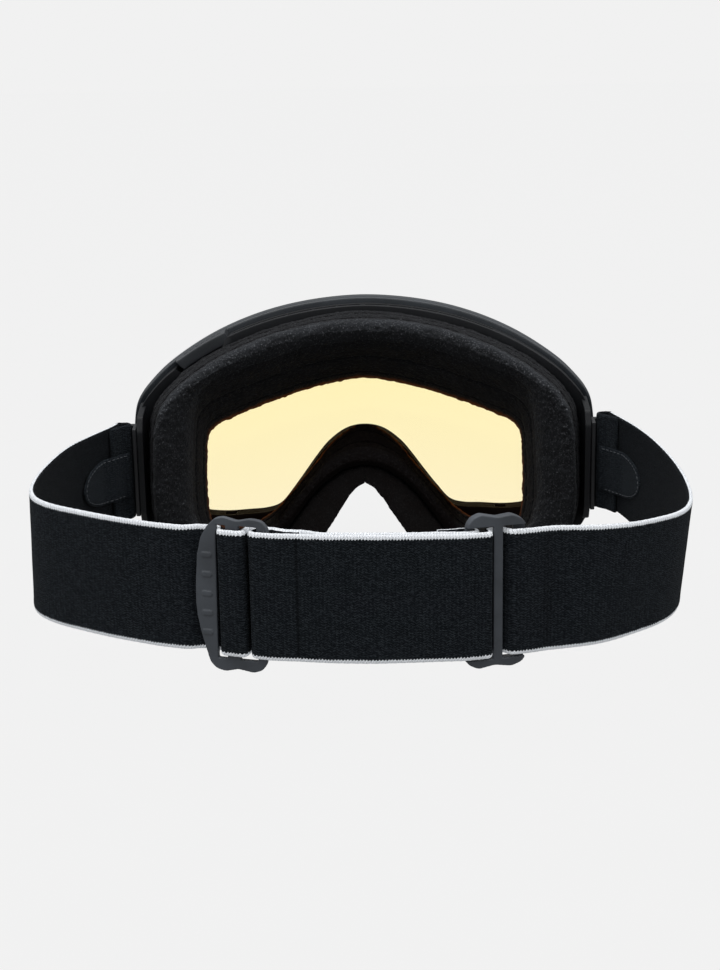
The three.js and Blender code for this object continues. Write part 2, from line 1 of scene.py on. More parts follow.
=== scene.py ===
# Goggles resting on their lower edge: a foam-padded frame, a rim with two lenses, and a strap
# with two adjusters that runs round behind them.
# The working frame is in millimetres: x to the wearer's right, y forward from the strap's rear
# (y = 0) to the rim's front, z up with the strap's middle at z = 0.
import bpy
import bmesh
import math
from collections import namedtuple
import numpy as np
from mathutils import Matrix, Vector, noise
from mathutils.kdtree import KDTree


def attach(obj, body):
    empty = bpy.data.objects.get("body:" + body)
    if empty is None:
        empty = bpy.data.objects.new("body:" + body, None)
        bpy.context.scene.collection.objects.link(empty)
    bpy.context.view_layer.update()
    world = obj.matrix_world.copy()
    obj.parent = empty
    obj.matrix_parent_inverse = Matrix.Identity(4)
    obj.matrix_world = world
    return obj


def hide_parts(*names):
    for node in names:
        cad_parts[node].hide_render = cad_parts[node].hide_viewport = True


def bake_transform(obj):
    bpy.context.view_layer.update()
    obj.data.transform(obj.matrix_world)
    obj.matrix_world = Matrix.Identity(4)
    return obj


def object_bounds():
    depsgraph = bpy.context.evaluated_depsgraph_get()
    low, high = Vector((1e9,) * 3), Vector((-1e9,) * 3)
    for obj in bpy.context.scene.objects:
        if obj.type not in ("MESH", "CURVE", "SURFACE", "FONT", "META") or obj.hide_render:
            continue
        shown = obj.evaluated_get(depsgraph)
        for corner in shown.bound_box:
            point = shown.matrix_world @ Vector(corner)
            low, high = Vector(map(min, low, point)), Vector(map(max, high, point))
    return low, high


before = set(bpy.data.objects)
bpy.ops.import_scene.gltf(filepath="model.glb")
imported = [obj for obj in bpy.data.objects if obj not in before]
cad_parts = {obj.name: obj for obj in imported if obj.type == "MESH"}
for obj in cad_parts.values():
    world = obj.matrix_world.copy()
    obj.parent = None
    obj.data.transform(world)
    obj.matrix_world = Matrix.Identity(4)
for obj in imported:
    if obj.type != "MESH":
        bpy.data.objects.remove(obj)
CAD_LO, CAD_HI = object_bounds()
SCENE = bpy.context.scene
FRONT_Y, FLOOR_Z = 211.909, -39.2  # the rim's front and the plane the goggles rest on

# what carries a point of the working frame to the CAD's frame, from the CAD's own box
SHIFT_X = (CAD_LO.x + CAD_HI.x) / 2 * 1000
SHIFT_Y = CAD_HI.y * 1000 - FRONT_Y
SHIFT_Z = CAD_LO.z * 1000 - FLOOR_Z
SHIFT = np.array([SHIFT_X, SHIFT_Y, SHIFT_Z])
SIDES = ((-1, "left"), (1, "right"))


def to_cad(points):
    """working millimetres to metres in the CAD's frame"""
    return (np.asarray(points, float) + SHIFT) / 1000.0


# ------------------------------------------------------------------ mesh helpers
def read_vectors(collection, key):
    values = np.zeros(len(collection) * 3, np.float32)
    collection.foreach_get(key, values)
    return values.reshape(-1, 3)


def get_points(mesh):
    return read_vectors(mesh.vertices, "co")


def set_points(mesh, points):
    mesh.vertices.foreach_set("co", points.astype(np.float32).ravel())
    mesh.update()


def working(points):
    """metres in the CAD's frame back to working millimetres"""
    return points.astype(float) * 1000 - SHIFT


def set_attribute(mesh, name, values):
    layer = mesh.attributes.new(name, "FLOAT", "POINT")
    layer.data.foreach_set("value", np.asarray(values, np.float32))


def add_object(name, data, materials=()):
    ob = bpy.data.objects.new(name, data)
    SCENE.collection.objects.link(ob)
    for material in materials:
        data.materials.append(material)
    return ob


def make(name, points, faces, material, attributes=None):
    """smooth object from working points and faces that all have the same corner count"""
    mesh = bpy.data.meshes.new(name)
    points = to_cad(points)
    mesh.vertices.add(len(points))
    mesh.vertices.foreach_set("co", points.astype(np.float32).ravel())
    faces = np.asarray(faces, np.int32)
    mesh.loops.add(faces.size)
    mesh.loops.foreach_set("vertex_index", faces.ravel())
    mesh.polygons.add(len(faces))
    starts = np.arange(len(faces), dtype=np.int32) * faces.shape[1]
    mesh.polygons.foreach_set("loop_start", starts)
    mesh.update(calc_edges=True)
    mesh.validate()
    for key, values in (attributes or {}).items():
        set_attribute(mesh, key, values)
    mesh.shade_smooth()
    return add_object(name, mesh, (material,))


def grid_faces(rows, columns, closed_rows=False):
    """quads of a grid with index row * columns + column, closed across its columns"""
    i, j = np.meshgrid(np.arange(rows if closed_rows else rows - 1), np.arange(columns),
                       indexing="ij")
    i, j = i.ravel(), j.ravel()
    near, far = i * columns, ((i + 1) % rows) * columns
    j_next = (j + 1) % columns
    return np.stack([near + j, near + j_next, far + j_next, far + j], 1)


def edit_mesh(ob, fill=False, orient=False):
    """fills open ends and turns the normals outward"""
    bm = bmesh.new()
    bm.from_mesh(ob.data)
    if fill:
        bmesh.ops.holes_fill(bm, edges=[e for e in bm.edges if e.is_boundary], sides=0)
    if orient:
        bmesh.ops.recalc_face_normals(bm, faces=bm.faces)
    bm.to_mesh(ob.data)
    bm.free()


def shade(ob, sharp=None):
    ob.data.shade_smooth()
    if sharp:
        ob.data.set_sharp_from_angle(angle=math.radians(sharp))


def add_modifier(ob, kind, **settings):
    modifier = ob.modifiers.new(kind.lower(), kind)
    for key, value in settings.items():
        setattr(modifier, key, value)
    return modifier


def apply_all(ob):
    graph = bpy.context.evaluated_depsgraph_get()
    mesh = bpy.data.meshes.new_from_object(ob.evaluated_get(graph))
    old = ob.data
    ob.modifiers.clear()
    ob.data = mesh
    mesh.name = ob.name
    bpy.data.meshes.remove(old)


def fuzz(ob, amount, scale, seed):
    """pushes each vertex along its normal by smooth noise; lengths in millimetres"""
    points = get_points(ob.data)
    normals = read_vectors(ob.data.vertex_normals, "vector")
    f = 1000.0 / scale
    heights = np.array([noise.noise(Vector((p[0] * f + seed, p[1] * f - seed, p[2] * f)))
                        for p in points])
    set_points(ob.data, points + normals * (heights * amount / 1000.0)[:, None])


def lift_to_floor(*objects):
    """moves anything below the resting plane up onto it"""
    for ob in objects:
        points = get_points(ob.data)
        points[:, 2] = np.maximum(points[:, 2], (FLOOR_Z + SHIFT_Z) / 1000.0)
        set_points(ob.data, points)


def register(ob, body, slot, node=None):
    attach(ob, body)
    if node:
        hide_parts(node)


# ------------------------------------------------------------------ polylines
def bell(reach, width):
    weights = np.exp(-0.5 * (np.arange(-reach, reach + 1) / width) ** 2)
    return weights / weights.sum()


def eased(points, reach, width):
    """open polyline smoothed with bell-shaped weights"""
    padded = np.vstack([np.repeat(points[:1], reach, 0), points, np.repeat(points[-1:], reach, 0)])
    weights = bell(reach, width)
    return np.stack([np.convolve(padded[:, k], weights, "valid") for k in (0, 1)], 1)


def run_length(points):
    return np.concatenate([[0], np.cumsum(np.linalg.norm(np.diff(points, axis=0), axis=1))])


def evenly(points, count=None, step=None):
    """distances along a polyline and its points there, by count or by step"""
    lengths = run_length(points)
    if step:
        count = int(lengths[-1] / step) + 1
    distances = np.linspace(0, lengths[-1], count)
    return distances, np.stack([np.interp(distances, lengths, points[:, k]) for k in (0, 1)], 1)


def rounded(points, step=10):
    """corner fillets on a polyline of (x, y[, radius]) points, arcs in steps of `step` degrees"""
    pts = [(p[0], p[1], p[2] if len(p) > 2 else 0.0) for p in points]
    out = [np.array(pts[0][:2])]
    for i in range(1, len(pts) - 1):
        corner, radius = np.array(pts[i][:2]), pts[i][2]
        before, after = np.array(pts[i - 1][:2]) - corner, np.array(pts[i + 1][:2]) - corner
        len_before, len_after = np.linalg.norm(before), np.linalg.norm(after)
        before, after = before / len_before, after / len_after
        cosine = float(np.clip(before @ after, -1, 1))
        if radius <= 0 or cosine < -0.99999:
            out.append(corner)
            continue
        half = math.acos(cosine) / 2
        cut = min(radius / math.tan(half), len_before * 0.499, len_after * 0.499)
        radius = cut * math.tan(half)
        middle = (before + after) / np.linalg.norm(before + after)
        centre = corner + middle * radius / math.sin(half)
        start, end = corner + before * cut, corner + after * cut
        angle0 = math.atan2(*(start - centre)[::-1])
        angle1 = math.atan2(*(end - centre)[::-1])
        turn = (angle1 - angle0 + math.pi) % (2 * math.pi) - math.pi
        count = max(2, int(abs(math.degrees(turn)) / step) + 1)
        for j in range(count + 1):
            angle = angle0 + turn * j / count
            out.append(centre + radius * np.array([math.cos(angle), math.sin(angle)]))
    out.append(np.array(pts[-1][:2]))
    return np.array(out)


def closed_round(points, radius):
    """closed polygon with every corner filleted"""
    first, last = points[0], points[-1]
    middle = ((last[0] + first[0]) / 2, (last[1] + first[1]) / 2)
    return rounded([middle, *[(*p, radius) for p in points], middle], 9)[:-1]


# ------------------------------------------------------------------ outlines seen from the front
# (x, z) of each outline's right half, from its top middle round to its bottom middle
RIM_HALF = [
    (0, 57.5), (12.8, 56.9), (25.5, 55.4), (38, 52.9), (50.5, 49.1), (62.6, 43.9),
    (74.4, 36.9), (81, 31.2), (85.6, 25.5), (87.4, 18.5), (88, 6), (88, -10), (87, -21),
    (83.5, -28.5), (76, -34.5), (66, -38.4), (54, -40), (43, -40), (35.5, -38), (30, -33.5),
    (25.5, -27), (20.5, -19.5), (14.5, -12), (7.5, -6.3), (0, -4.2)]
OPENING_HALF = [
    (0, 31), (12.5, 29.5), (23, 27.3), (32, 25), (41, 22.3), (49.5, 19.5),
    (55.5, 17), (59.5, 14), (61.8, 10), (62.8, 5), (63.5, -2), (63.5, -9), (63.7, -16.5),
    (63.9, -21.2), (62.8, -23.9), (55, -25.9), (46.5, -26.5), (40, -26.7), (34.2, -25.2),
    (29.2, -19.5), (24.3, -13), (19.5, -6.5), (14.5, -0.6), (7.5, 4.4), (0, 5.9)]
# the foam's outer and inner outlines, at the frame and at the face
FOAM_OUTER_FRAME_HALF = [
    (0, 53.5), (12.5, 52.6), (25.2, 50.4), (37, 47.8), (48.3, 44.2),
    (60, 39.5), (69, 33.8), (75.5, 28), (79.5, 22), (81, 14), (81.5, 4), (81.8, -9),
    (81, -19), (78, -26), (71.5, -31.3), (62.5, -34.8), (52.5, -36.6), (43.5, -36.8),
    (37, -34.4), (32, -30), (27, -23.6), (21.5, -16.4), (15, -10.2), (7.5, -5.6), (0, -4)]
FOAM_OUTER_FACE_HALF = [
    (0, 53.4), (12.5, 52.8), (24, 51.3), (35.4, 48.7), (45, 45.4),
    (55, 41.2), (64.4, 35.2), (70, 30.2), (73.8, 24.5), (75.7, 15), (76.3, 4),
    (76.8, -8.8), (76, -19), (72.5, -26.5), (66.5, -32), (58.5, -35.5), (50, -36.9),
    (43, -36.6), (37, -34.3), (32, -30), (27, -23.6), (21.5, -16.4), (15, -10.2),
    (7.5, -5.6), (0, -4)]
FOAM_INNER_FRAME_HALF = [
    (0, 25.9), (13.4, 23.9), (24, 21.5), (33, 18.9), (42, 16.2), (51, 13.2),
    (56.6, 11.2), (60, 8.2), (61, 3.5), (61.3, -2), (61.6, -8), (61.6, -14), (61.4, -20.5),
    (60.4, -27), (55.5, -30), (50.5, -30.9), (46, -30.6), (41, -28.4), (35.2, -24.7),
    (30.5, -19.6), (25.3, -14), (18.8, -6.5), (12.3, 1.6), (6, 6.2), (0, 7.8)]
FOAM_INNER_FACE_HALF = [
    (0, 45.4), (12, 44.8), (22, 43.2), (31.5, 41), (41.5, 37.9), (51, 35.4),
    (58.5, 32.4), (62.3, 28.6), (64.2, 24), (65, 14), (65.5, 3), (66, -9), (65, -18),
    (62, -24.5), (57, -28.5), (51.5, -30.6), (46, -31.2), (40.5, -30), (35.5, -26.5),
    (31, -21.5), (26.5, -16), (21, -9.5), (15, -3.5), (7.5, 0.6), (0, 2)]
STEPS_PER_POINT = 12


def outline(half):
    """closed outline from its right half: a curve through the points, then softened"""
    left = [(-x, z) for x, z in reversed(half[1:-1])]
    here = np.array(half + left, float)
    before, after, beyond = (np.roll(here, k, 0) for k in (1, -1, -2))
    out = []
    for t in np.arange(STEPS_PER_POINT) / STEPS_PER_POINT:
        out.append(0.5 * (2 * here + (after - before) * t
                          + (2 * before - 5 * here + 4 * after - beyond) * t * t
                          + (-before + 3 * here - 3 * after + beyond) * t ** 3))
    points = np.stack(out, 1).reshape(-1, 2)
    return sum(w * np.roll(points, k, 0) for k, w in zip(range(-8, 9), bell(8, 2.0)))


RIM, OPENING = outline(RIM_HALF), outline(OPENING_HALF)
# the opening's lower edge sits a little higher on the right
OPENING[:, 1] += 1.4 * (np.clip((OPENING[:, 0] - 20) / 25, 0, 1)
                        * np.clip((-8 - OPENING[:, 1]) / 12, 0, 1))
FOAM_OUTER_FRAME, FOAM_OUTER_FACE = outline(FOAM_OUTER_FRAME_HALF), outline(FOAM_OUTER_FACE_HALF)
FOAM_INNER_FRAME, FOAM_INNER_FACE = outline(FOAM_INNER_FRAME_HALF), outline(FOAM_INNER_FACE_HALF)
# the foam's outer outlines are a little wider at the temples
for _outline, _extra in ((FOAM_OUTER_FRAME, 0.5), (FOAM_OUTER_FACE, 1.4)):
    _outline[:, 0] += (np.sign(_outline[:, 0]) * _extra
                       * np.clip((np.abs(_outline[:, 0]) - 55) / 14, 0, 1))
OUTLINE_COUNT = len(RIM)

# radius of the bend round the face, at the face and from the frame forward
RADIUS_FACE, RADIUS_FRAME = 110.0, 118.0
FACE_Y, FRAME_Y = 170.6, 196.0


def radius_at(depth):
    depth = np.asarray(depth, float)
    grown = (RADIUS_FACE
             + (RADIUS_FRAME - RADIUS_FACE) * (depth - FACE_Y) / (FRAME_Y - FACE_Y))
    return np.where(depth >= FRAME_Y, RADIUS_FRAME, grown)


def bent(x, depth):
    """y of a point whose y at x = 0 is depth"""
    r = radius_at(depth)
    return depth - (r - np.sqrt(r * r - x * x))


def unbent(x, y):
    """depth that bent() puts at y, closed in on in four rounds"""
    depth = y.copy()
    for _ in range(4):
        r = radius_at(depth)
        depth = y + (r - np.sqrt(r * r - x * x))
    return depth


def rim_curve(inward, depth=None):
    """outline a fraction of the way from the rim to the opening, the same at every depth"""
    return RIM + (OPENING - RIM) * inward


def ring(name, profile, curve, material, sharp=None, span=None):
    """closed section swept round an outline: profile is a list of (place, depth), and
    curve(place, depth) gives that point's outline; span limits it to a run with capped ends"""
    layers = []
    for place, depth in profile:
        c = curve(place, depth)
        if span is not None:
            # a run may pass over the outline's first point
            last = span[1] + (OUTLINE_COUNT if span[1] < span[0] else 0)
            c = c[np.arange(span[0], max(last, span[0] + 1) + 1) % OUTLINE_COUNT]
        layers.append(np.stack([c[:, 0], bent(c[:, 0], depth), c[:, 1]], 1))
    rows, columns = len(profile), len(layers[0])
    faces = grid_faces(rows, columns, closed_rows=True)
    if span is not None:
        faces = faces.reshape(rows, columns, 4)[:, :-1].reshape(-1, 4)
    ob = make(name, np.concatenate(layers), faces, material)
    if span is not None:
        edit_mesh(ob, fill=True)
    edit_mesh(ob, orient=True)
    shade(ob, sharp)
    return ob


def rounded_section(across, depths, corner, steps=4, cuts=(1, 1)):
    """corner-rounded rectangle of (across, depth), its flat sides divided by cuts"""
    (a0, a1), (y0, y1), (ra, ry) = across, depths, corner
    pts = []

    def divide(start, end, count):
        pts.extend((start[0] + (end[0] - start[0]) * i / count,
                    start[1] + (end[1] - start[1]) * i / count) for i in range(1, count))

    corners = [(a1 - ra, y0 + ry, -90), (a1 - ra, y1 - ry, 0),
               (a0 + ra, y1 - ry, 90), (a0 + ra, y0 + ry, 180)]
    for q, (a, y, start) in enumerate(corners):
        arc = []
        for i in range(steps + 1):
            angle = math.radians(start + 90 * i / steps)
            arc.append((a + ra * math.cos(angle), y + ry * math.sin(angle)))
        if pts:
            divide(pts[-1], arc[0], cuts[q % 2])
        pts += arc
    divide(pts[-1], pts[0], cuts[0])
    return pts


# ------------------------------------------------------------------ shader node helpers
class Value:
    """a node's output that takes part in sums, each of which adds a Math node"""

    def __init__(self, nodes, socket):
        self.nodes, self.socket = nodes, socket

    def math(self, operation, *inputs):
        return self.nodes.value("Math", dict(enumerate(inputs)), operation=operation)

    def __add__(self, other):
        return self.math("ADD", self, other)

    def __sub__(self, other):
        return self.math("SUBTRACT", self, other)

    def __rsub__(self, other):
        return self.math("SUBTRACT", other, self)

    def __mul__(self, other):
        return self.math("MULTIPLY", self, other)

    def sine(self):
        return self.math("SINE", self)

    def absolute(self):
        return self.math("ABSOLUTE", self)

    def clamped(self):
        self.socket.node.use_clamp = True
        return self


class Nodes:
    """adds nodes to the tree of a material or world, emptied first if clear is set"""

    def __init__(self, owner, clear=False):
        owner.use_nodes = True
        self.tree = owner.node_tree
        if clear:
            self.tree.nodes.clear()

    def fill(self, node, inputs):
        """inputs maps socket names or numbers to values: numbers, RGB colours or Values"""
        for key, value in inputs.items():
            socket = node.inputs[key]
            if isinstance(value, Value):
                self.tree.links.new(value.socket, socket)
            elif isinstance(value, tuple):
                socket.default_value = (*value, 1)
            else:
                socket.default_value = value

    def surface(self, inputs):
        self.fill(self.tree.nodes["Principled BSDF"], inputs)

    def new(self, kind, inputs, **settings):
        node = self.tree.nodes.new("ShaderNode" + kind)
        for key, value in settings.items():
            setattr(node, key, value)
        self.fill(node, inputs)
        return node

    def value(self, kind, inputs=None, output=0, **settings):
        return Value(self, self.new(kind, inputs or {}, **settings).outputs[output])

    def coordinate(self, kind="Object"):
        return self.value("TexCoord", output=kind)

    def height_of(self, vector):
        return self.value("SeparateXYZ", {0: vector}, "Z")

    def attribute(self, name):
        return self.value("Attribute", output="Fac", attribute_name=name)

    def noise(self, scale, detail, roughness, vector=None):
        return self.value("TexNoise", {"Scale": scale, "Detail": detail, "Roughness": roughness,
                                       "Vector": vector or self.coordinate()}, "Fac")

    def ramp(self, factor, *stops):
        """colour ramp through (position, colour) stops"""
        node = self.new("ValToRGB", {"Fac": factor})
        elements = node.color_ramp.elements
        for element, (position, colour) in zip(elements, (stops[0], stops[-1])):
            element.position, element.color = position, (*colour, 1)
        for position, colour in stops[1:-1]:
            elements.new(position).color = (*colour, 1)
        return Value(self, node.outputs["Color"])

    def mask(self, factor, start, end):
        """black below start, white above end"""
        return self.ramp(factor, (start, (0, 0, 0)), (end, (1, 1, 1)))

    def mix(self, factor, first, second, blend="MIX"):
        return self.value("Mix", {0: factor, 6: first, 7: second}, 2,
                          data_type="RGBA", blend_type=blend)

    def bump(self, height, strength, depth):
        """depth in millimetres"""
        return self.value("Bump", {"Strength": strength, "Distance": depth / 1000.0,
                                   "Height": height}, "Normal")


def tinted(colour, factor, lift=0.0):
    return tuple(min(1, c * factor + lift) for c in colour)


# ------------------------------------------------------------------ materials
def fabric_base(nodes, roughness, specular, sheen):
    nodes.surface({"Roughness": roughness, "Specular IOR Level": specular, "Sheen Weight": sheen,
                   "Sheen Roughness": 0.5, "Sheen Tint": (0.55, 0.58, 0.62)})


def plastic(name, colour, roughness, grain=0.03, wear=0.12, specular=0.45):
    """moulded plastic: fine grain (depth in mm), cloudy roughness, pale scuffs"""
    material = bpy.data.materials.new(name)
    nodes = Nodes(material)
    cloud = nodes.noise(scale=90, detail=5, roughness=0.55)
    fine = nodes.noise(scale=5200, detail=2, roughness=0.5)
    scuff = nodes.noise(scale=420, detail=6, roughness=0.7)
    base = nodes.ramp(cloud, (0.3, tinted(colour, 0.82)), (0.7, tinted(colour, 1.25)))
    worn = nodes.mask(scuff, start=0.62, end=0.78)
    nodes.surface({
        "Base Color": nodes.mix(worn * wear, base, tinted(colour, 2.2, lift=0.01)),
        # roughness centred on the given value, varied by the clouds and the grain
        "Roughness": cloud * 0.16 + (roughness - 0.08) + fine * 0.06,
        "Specular IOR Level": specular,
        "Normal": nodes.bump(fine, strength=0.35, depth=grain)})
    return material


def foam_material(name, dark, light, fleck, cell_scale, sheen, glow=False, lift=0.0, nose_shade=False):
    """foam or brushed cloth: cells, pale fibres, painted light and shade by which way the surface
    faces, painted light from the glow attribute and painted shade round the nose
    """
    material = bpy.data.materials.new(name)
    nodes = Nodes(material)
    specular = 0.1
    cells = nodes.value("TexVoronoi", {"Scale": 1500 * cell_scale, "Vector": nodes.coordinate()},
                        "Distance")
    fibre = nodes.noise(scale=2600 * cell_scale, detail=3, roughness=0.75)
    patch = nodes.noise(scale=160, detail=3, roughness=0.6)
    base = nodes.ramp(patch, (0.3, dark), (0.7, light))
    base = nodes.mix(nodes.mask(fibre, start=0.56, end=0.72) * 0.8, base, fleck)
    if lift:
        # painted light and shade: the colour is brightened up to about 1.6 times where the surface
        # faces up and darkened to 0.62 where it faces sideways or down
        normal = nodes.value("NewGeometry", output="Normal")
        painted_top_light = (nodes.height_of(normal) * lift).clamped() + 0.62
        painted_light_factor = nodes.value("CombineColor", {q: painted_top_light for q in range(3)})
        base = nodes.mix(1.0, base, painted_light_factor, blend="MULTIPLY")
    if nose_shade:
        # painted shade: round the nose the colour is darkened toward a near-black brown
        base = nodes.mix(nodes.attribute("nose_shade") * 0.9, base, (0.0032, 0.0021, 0.0018))
    fabric_base(nodes, roughness=1.0, specular=specular, sheen=sheen)
    if nose_shade:
        # painted shade: the sheen and the specular are turned down round the nose as well
        flat = nodes.attribute("nose_shade") * -0.9
        nodes.surface({"Sheen Weight": (flat + 1.0) * sheen,
                       "Specular IOR Level": (flat + 1.0) * specular})
    if glow:
        # warm light that comes through from the lens side
        lit = nodes.attribute("glow")
        base = nodes.mix(lit * 0.9, base, (0.06, 0.020, 0.006))
        nodes.surface({"Emission Color": (1.0, 0.28, 0.05), "Emission Strength": lit * 0.06})
    nodes.surface({"Base Color": base,
                   "Normal": nodes.bump(cells * 0.6 + fibre, strength=0.9, depth=0.35)})
    return material


# lengths in the strap's weave
RIB_PITCH, STITCH_PITCH, STITCH_SLANT, CORD_PITCH = 1.10, 0.78, 1.5, 0.92
SELVEDGE_START = 18.42  # distance from the band's middle where its white edge begins
TURN = 2 * math.pi


def strap_material(name, selvedge):
    """knit read from the band's own coordinates: s along, v across, n from -1 on the outer face
    to 1 on the inner; seam marks sewn lines and fold the part turned round the clip's bar"""
    material = bpy.data.materials.new(name)
    nodes = Nodes(material)
    s, v, n = (nodes.attribute(key) for key in "svn")
    # upright ribs crossed by short stitches that lean the other way in every second rib
    rib = (s * (TURN / RIB_PITCH)).sine()
    alternate = (s * (TURN / (2 * RIB_PITCH))).sine()
    lean = alternate.math("SIGN", alternate)
    stitch = (v * (TURN / STITCH_PITCH) + s * lean * (TURN / STITCH_SLANT)).sine()
    cloud = nodes.noise(scale=260, detail=4, roughness=0.6)
    fine = nodes.noise(scale=3800, detail=3, roughness=0.7)
    # drawn-out strokes that run aslant across the band
    slanted = nodes.value("CombineXYZ", {0: s * 0.85 + v * 0.55, 1: v * 1.6, 2: n * 3.0})
    stroke = nodes.noise(scale=1.25, detail=2, roughness=0.6, vector=slanted)
    height = rib * 0.10 + stitch * 0.22 + (stroke - 0.5) * 2.6 + fine * 0.9
    # dark yarn, paler on its high parts and flecked by loose fibres
    yarn = nodes.ramp(cloud, (0.3, (0.0038, 0.0054, 0.0074)), (0.7, (0.0068, 0.0092, 0.0118)))
    yarn = nodes.mix(nodes.mask(height, start=0.30, end=0.95) * 0.85, yarn, (0.030, 0.036, 0.042))
    yarn = nodes.mix(nodes.mask(fine, start=0.62, end=0.76) * 0.6, yarn, (0.050, 0.056, 0.064))
    # a sewn line shows as a shallow dark groove; the face against the head is darker
    yarn = nodes.mix(nodes.attribute("seam") * 0.75, yarn, (0.001, 0.0014, 0.002))
    inside = ((n - 0.1) * 4.0).clamped()
    yarn = nodes.mix(inside * 0.62, yarn, (0.0012, 0.0016, 0.0024))
    fabric_base(nodes, roughness=0.95, specular=0.09, sheen=0.03)
    if not selvedge:
        nodes.surface({"Base Color": yarn,
                       "Normal": nodes.bump(height, strength=0.75, depth=0.22)})
        return material
    # woven white selvedge on the outer face, toothed where it meets the black yarn
    off_middle = v.absolute()
    teeth = (s * (math.pi / CORD_PITCH)).sine().absolute()
    wobble = (nodes.noise(scale=700, detail=2, roughness=0.5) - 0.5) * 0.5
    white = ((off_middle - (teeth * 0.42 + SELVEDGE_START + wobble)) * 9.0).clamped()
    white = white * ((0.42 - n) * 6.0).clamped()
    white = white * (1.0 - nodes.attribute("fold")).clamped()
    cord = (s * (TURN / CORD_PITCH) + off_middle * 2.6).sine()
    white_yarn = nodes.mix(cord * 0.25 + 0.5, (0.80, 0.83, 0.87), (0.95, 0.96, 0.98))
    white_yarn = nodes.mix(fine * 0.2, white_yarn, (0.55, 0.57, 0.60))
    # painted light: the white selvedge also glows faintly in a bluish white, on top of its white
    # colour
    nodes.surface({
        "Emission Color": (0.90, 0.95, 1.0), "Emission Strength": white * 0.17,
        "Base Color": nodes.mix(white, yarn, white_yarn),
        "Normal": nodes.bump(nodes.mix(white, height, cord), strength=0.95, depth=0.30)})
    return material


def thread_material():
    material = bpy.data.materials.new("sewing_thread")
    nodes = Nodes(material)
    fine = nodes.noise(scale=4000, detail=3, roughness=0.6)
    fabric_base(nodes, roughness=0.7, specular=0.3, sheen=0.1)
    nodes.surface({
        "Base Color": nodes.ramp(fine, (0.3, (0.05, 0.054, 0.06)), (0.7, (0.11, 0.117, 0.13))),
        "Normal": nodes.bump(fine, strength=0.5, depth=0.06)})
    return material


def lens_material(name, tint_top, tint_low, glow, coating, reflection):
    """see-through sheet: a tint graded by height, a coated reflection and a faint glow"""
    material = bpy.data.materials.new(name)
    nodes = Nodes(material, clear=True)
    tint_start, tint_reach = 0.012, 0.055  # metres of height over which the tint changes
    grade = ((nodes.height_of(nodes.coordinate()) - tint_start) * (1 / tint_reach)).clamped()
    haze = nodes.noise(scale=35, detail=3, roughness=0.5)
    tint = nodes.mix(haze * 0.05, nodes.mix(grade, tint_low, tint_top), (1, 1, 1))
    smudge = nodes.noise(scale=120, detail=5, roughness=0.65)
    gloss = nodes.value("BsdfGlossy", {"Roughness": smudge * 0.05 + 0.02, "Color": coating})
    fresnel = nodes.value("Fresnel", {"IOR": 1.45})
    sheet = nodes.value("MixShader", {0: (fresnel * reflection + 0.0).clamped(),
                                      1: nodes.value("BsdfTransparent", {"Color": tint}),
                                      2: gloss})
    emission = nodes.value("Emission", {"Color": glow, "Strength": 1.0})
    nodes.new("OutputMaterial", {"Surface": nodes.value("AddShader", {0: sheet, 1: emission})})
    return material


def grained(name, colour, roughness, metallic=0.0):
    """plain surface with a fine grain"""
    material = bpy.data.materials.new(name)
    nodes = Nodes(material)
    fine = nodes.noise(scale=2500, detail=4, roughness=0.6)
    nodes.surface({
        "Base Color": nodes.ramp(fine, (0.3, tinted(colour, 0.85)), (0.7, tinted(colour, 1.15))),
        "Metallic": metallic,
        "Roughness": fine * 0.2 + (roughness - 0.1),
        "Normal": nodes.bump(fine, strength=0.4, depth=0.03)})
    return material


FRAME_PLASTIC = plastic("frame_plastic", colour=(0.0085, 0.0092, 0.0105), roughness=0.46,
                        specular=0.22)
RIM_PLASTIC = plastic("rim_plastic", colour=(0.022, 0.026, 0.0305), roughness=0.38, grain=0.02)
FRAME_LIP = plastic("frame_lip", colour=(0.0042, 0.0016, 0.0008), roughness=0.6, specular=0.06)
RELEASE_PLASTIC = plastic("release_tab_plastic", colour=(0.030, 0.033, 0.037), roughness=0.45,
                          specular=0.42)
CLIP_PLASTIC = plastic("clip_plastic", colour=(0.018, 0.019, 0.021), roughness=0.42)
ADJUSTER_PLASTIC = plastic("adjuster_plastic", colour=(0.055, 0.062, 0.072), roughness=0.5,
                           grain=0.05, wear=0.18)
FLEECE = foam_material("face_fleece_fabric", dark=(0.0085, 0.009, 0.010),
                       light=(0.015, 0.016, 0.018), fleck=(0.115, 0.120, 0.128),
                       cell_scale=0.62, sheen=0.06, lift=1.7, nose_shade=True)
FOAM = foam_material("open_cell_foam", dark=(0.006, 0.006, 0.0066), light=(0.011, 0.011, 0.012),
                     fleck=(0.085, 0.088, 0.094), cell_scale=0.66, sheen=0.04, glow=True,
                     lift=0.5, nose_shade=True)
NOSE_FOAM = foam_material("nose_foam", dark=(0.0058, 0.0043, 0.0040), light=(0.008, 0.007, 0.007),
                          fleck=(0.026, 0.024, 0.024), cell_scale=0.8, sheen=0.02, glow=True)
VENT_FOAM = foam_material("vent_foam", dark=(0.012, 0.012, 0.013), light=(0.02, 0.02, 0.022),
                          fleck=(0.07, 0.07, 0.075), cell_scale=0.6, sheen=0.12)
STRAP_KNIT = strap_material("strap_knit", selvedge=True)
TAB_KNIT = strap_material("strap_tab_knit", selvedge=False)
THREAD = thread_material()
LENS_YELLOW = lens_material("lens_yellow", tint_top=(1.0, 0.993, 0.80),
                            tint_low=(1.0, 0.996, 0.87), glow=(0.045, 0.022, 0.0),
                            coating=(1.0, 0.93, 0.78), reflection=0.55)
LENS_CLEAR = lens_material("lens_clear", tint_top=(1.0, 0.985, 0.93),
                           tint_low=(1.0, 0.985, 0.94), glow=(0.03, 0.014, 0.0),
                           coating=(1, 1, 1), reflection=0.12)
MAGNET = grained("nickel_magnet", colour=(0.62, 0.62, 0.64), roughness=0.28, metallic=1.0)
GASKET = grained("lens_gasket_tape", colour=(0.014, 0.005, 0.002), roughness=0.8)


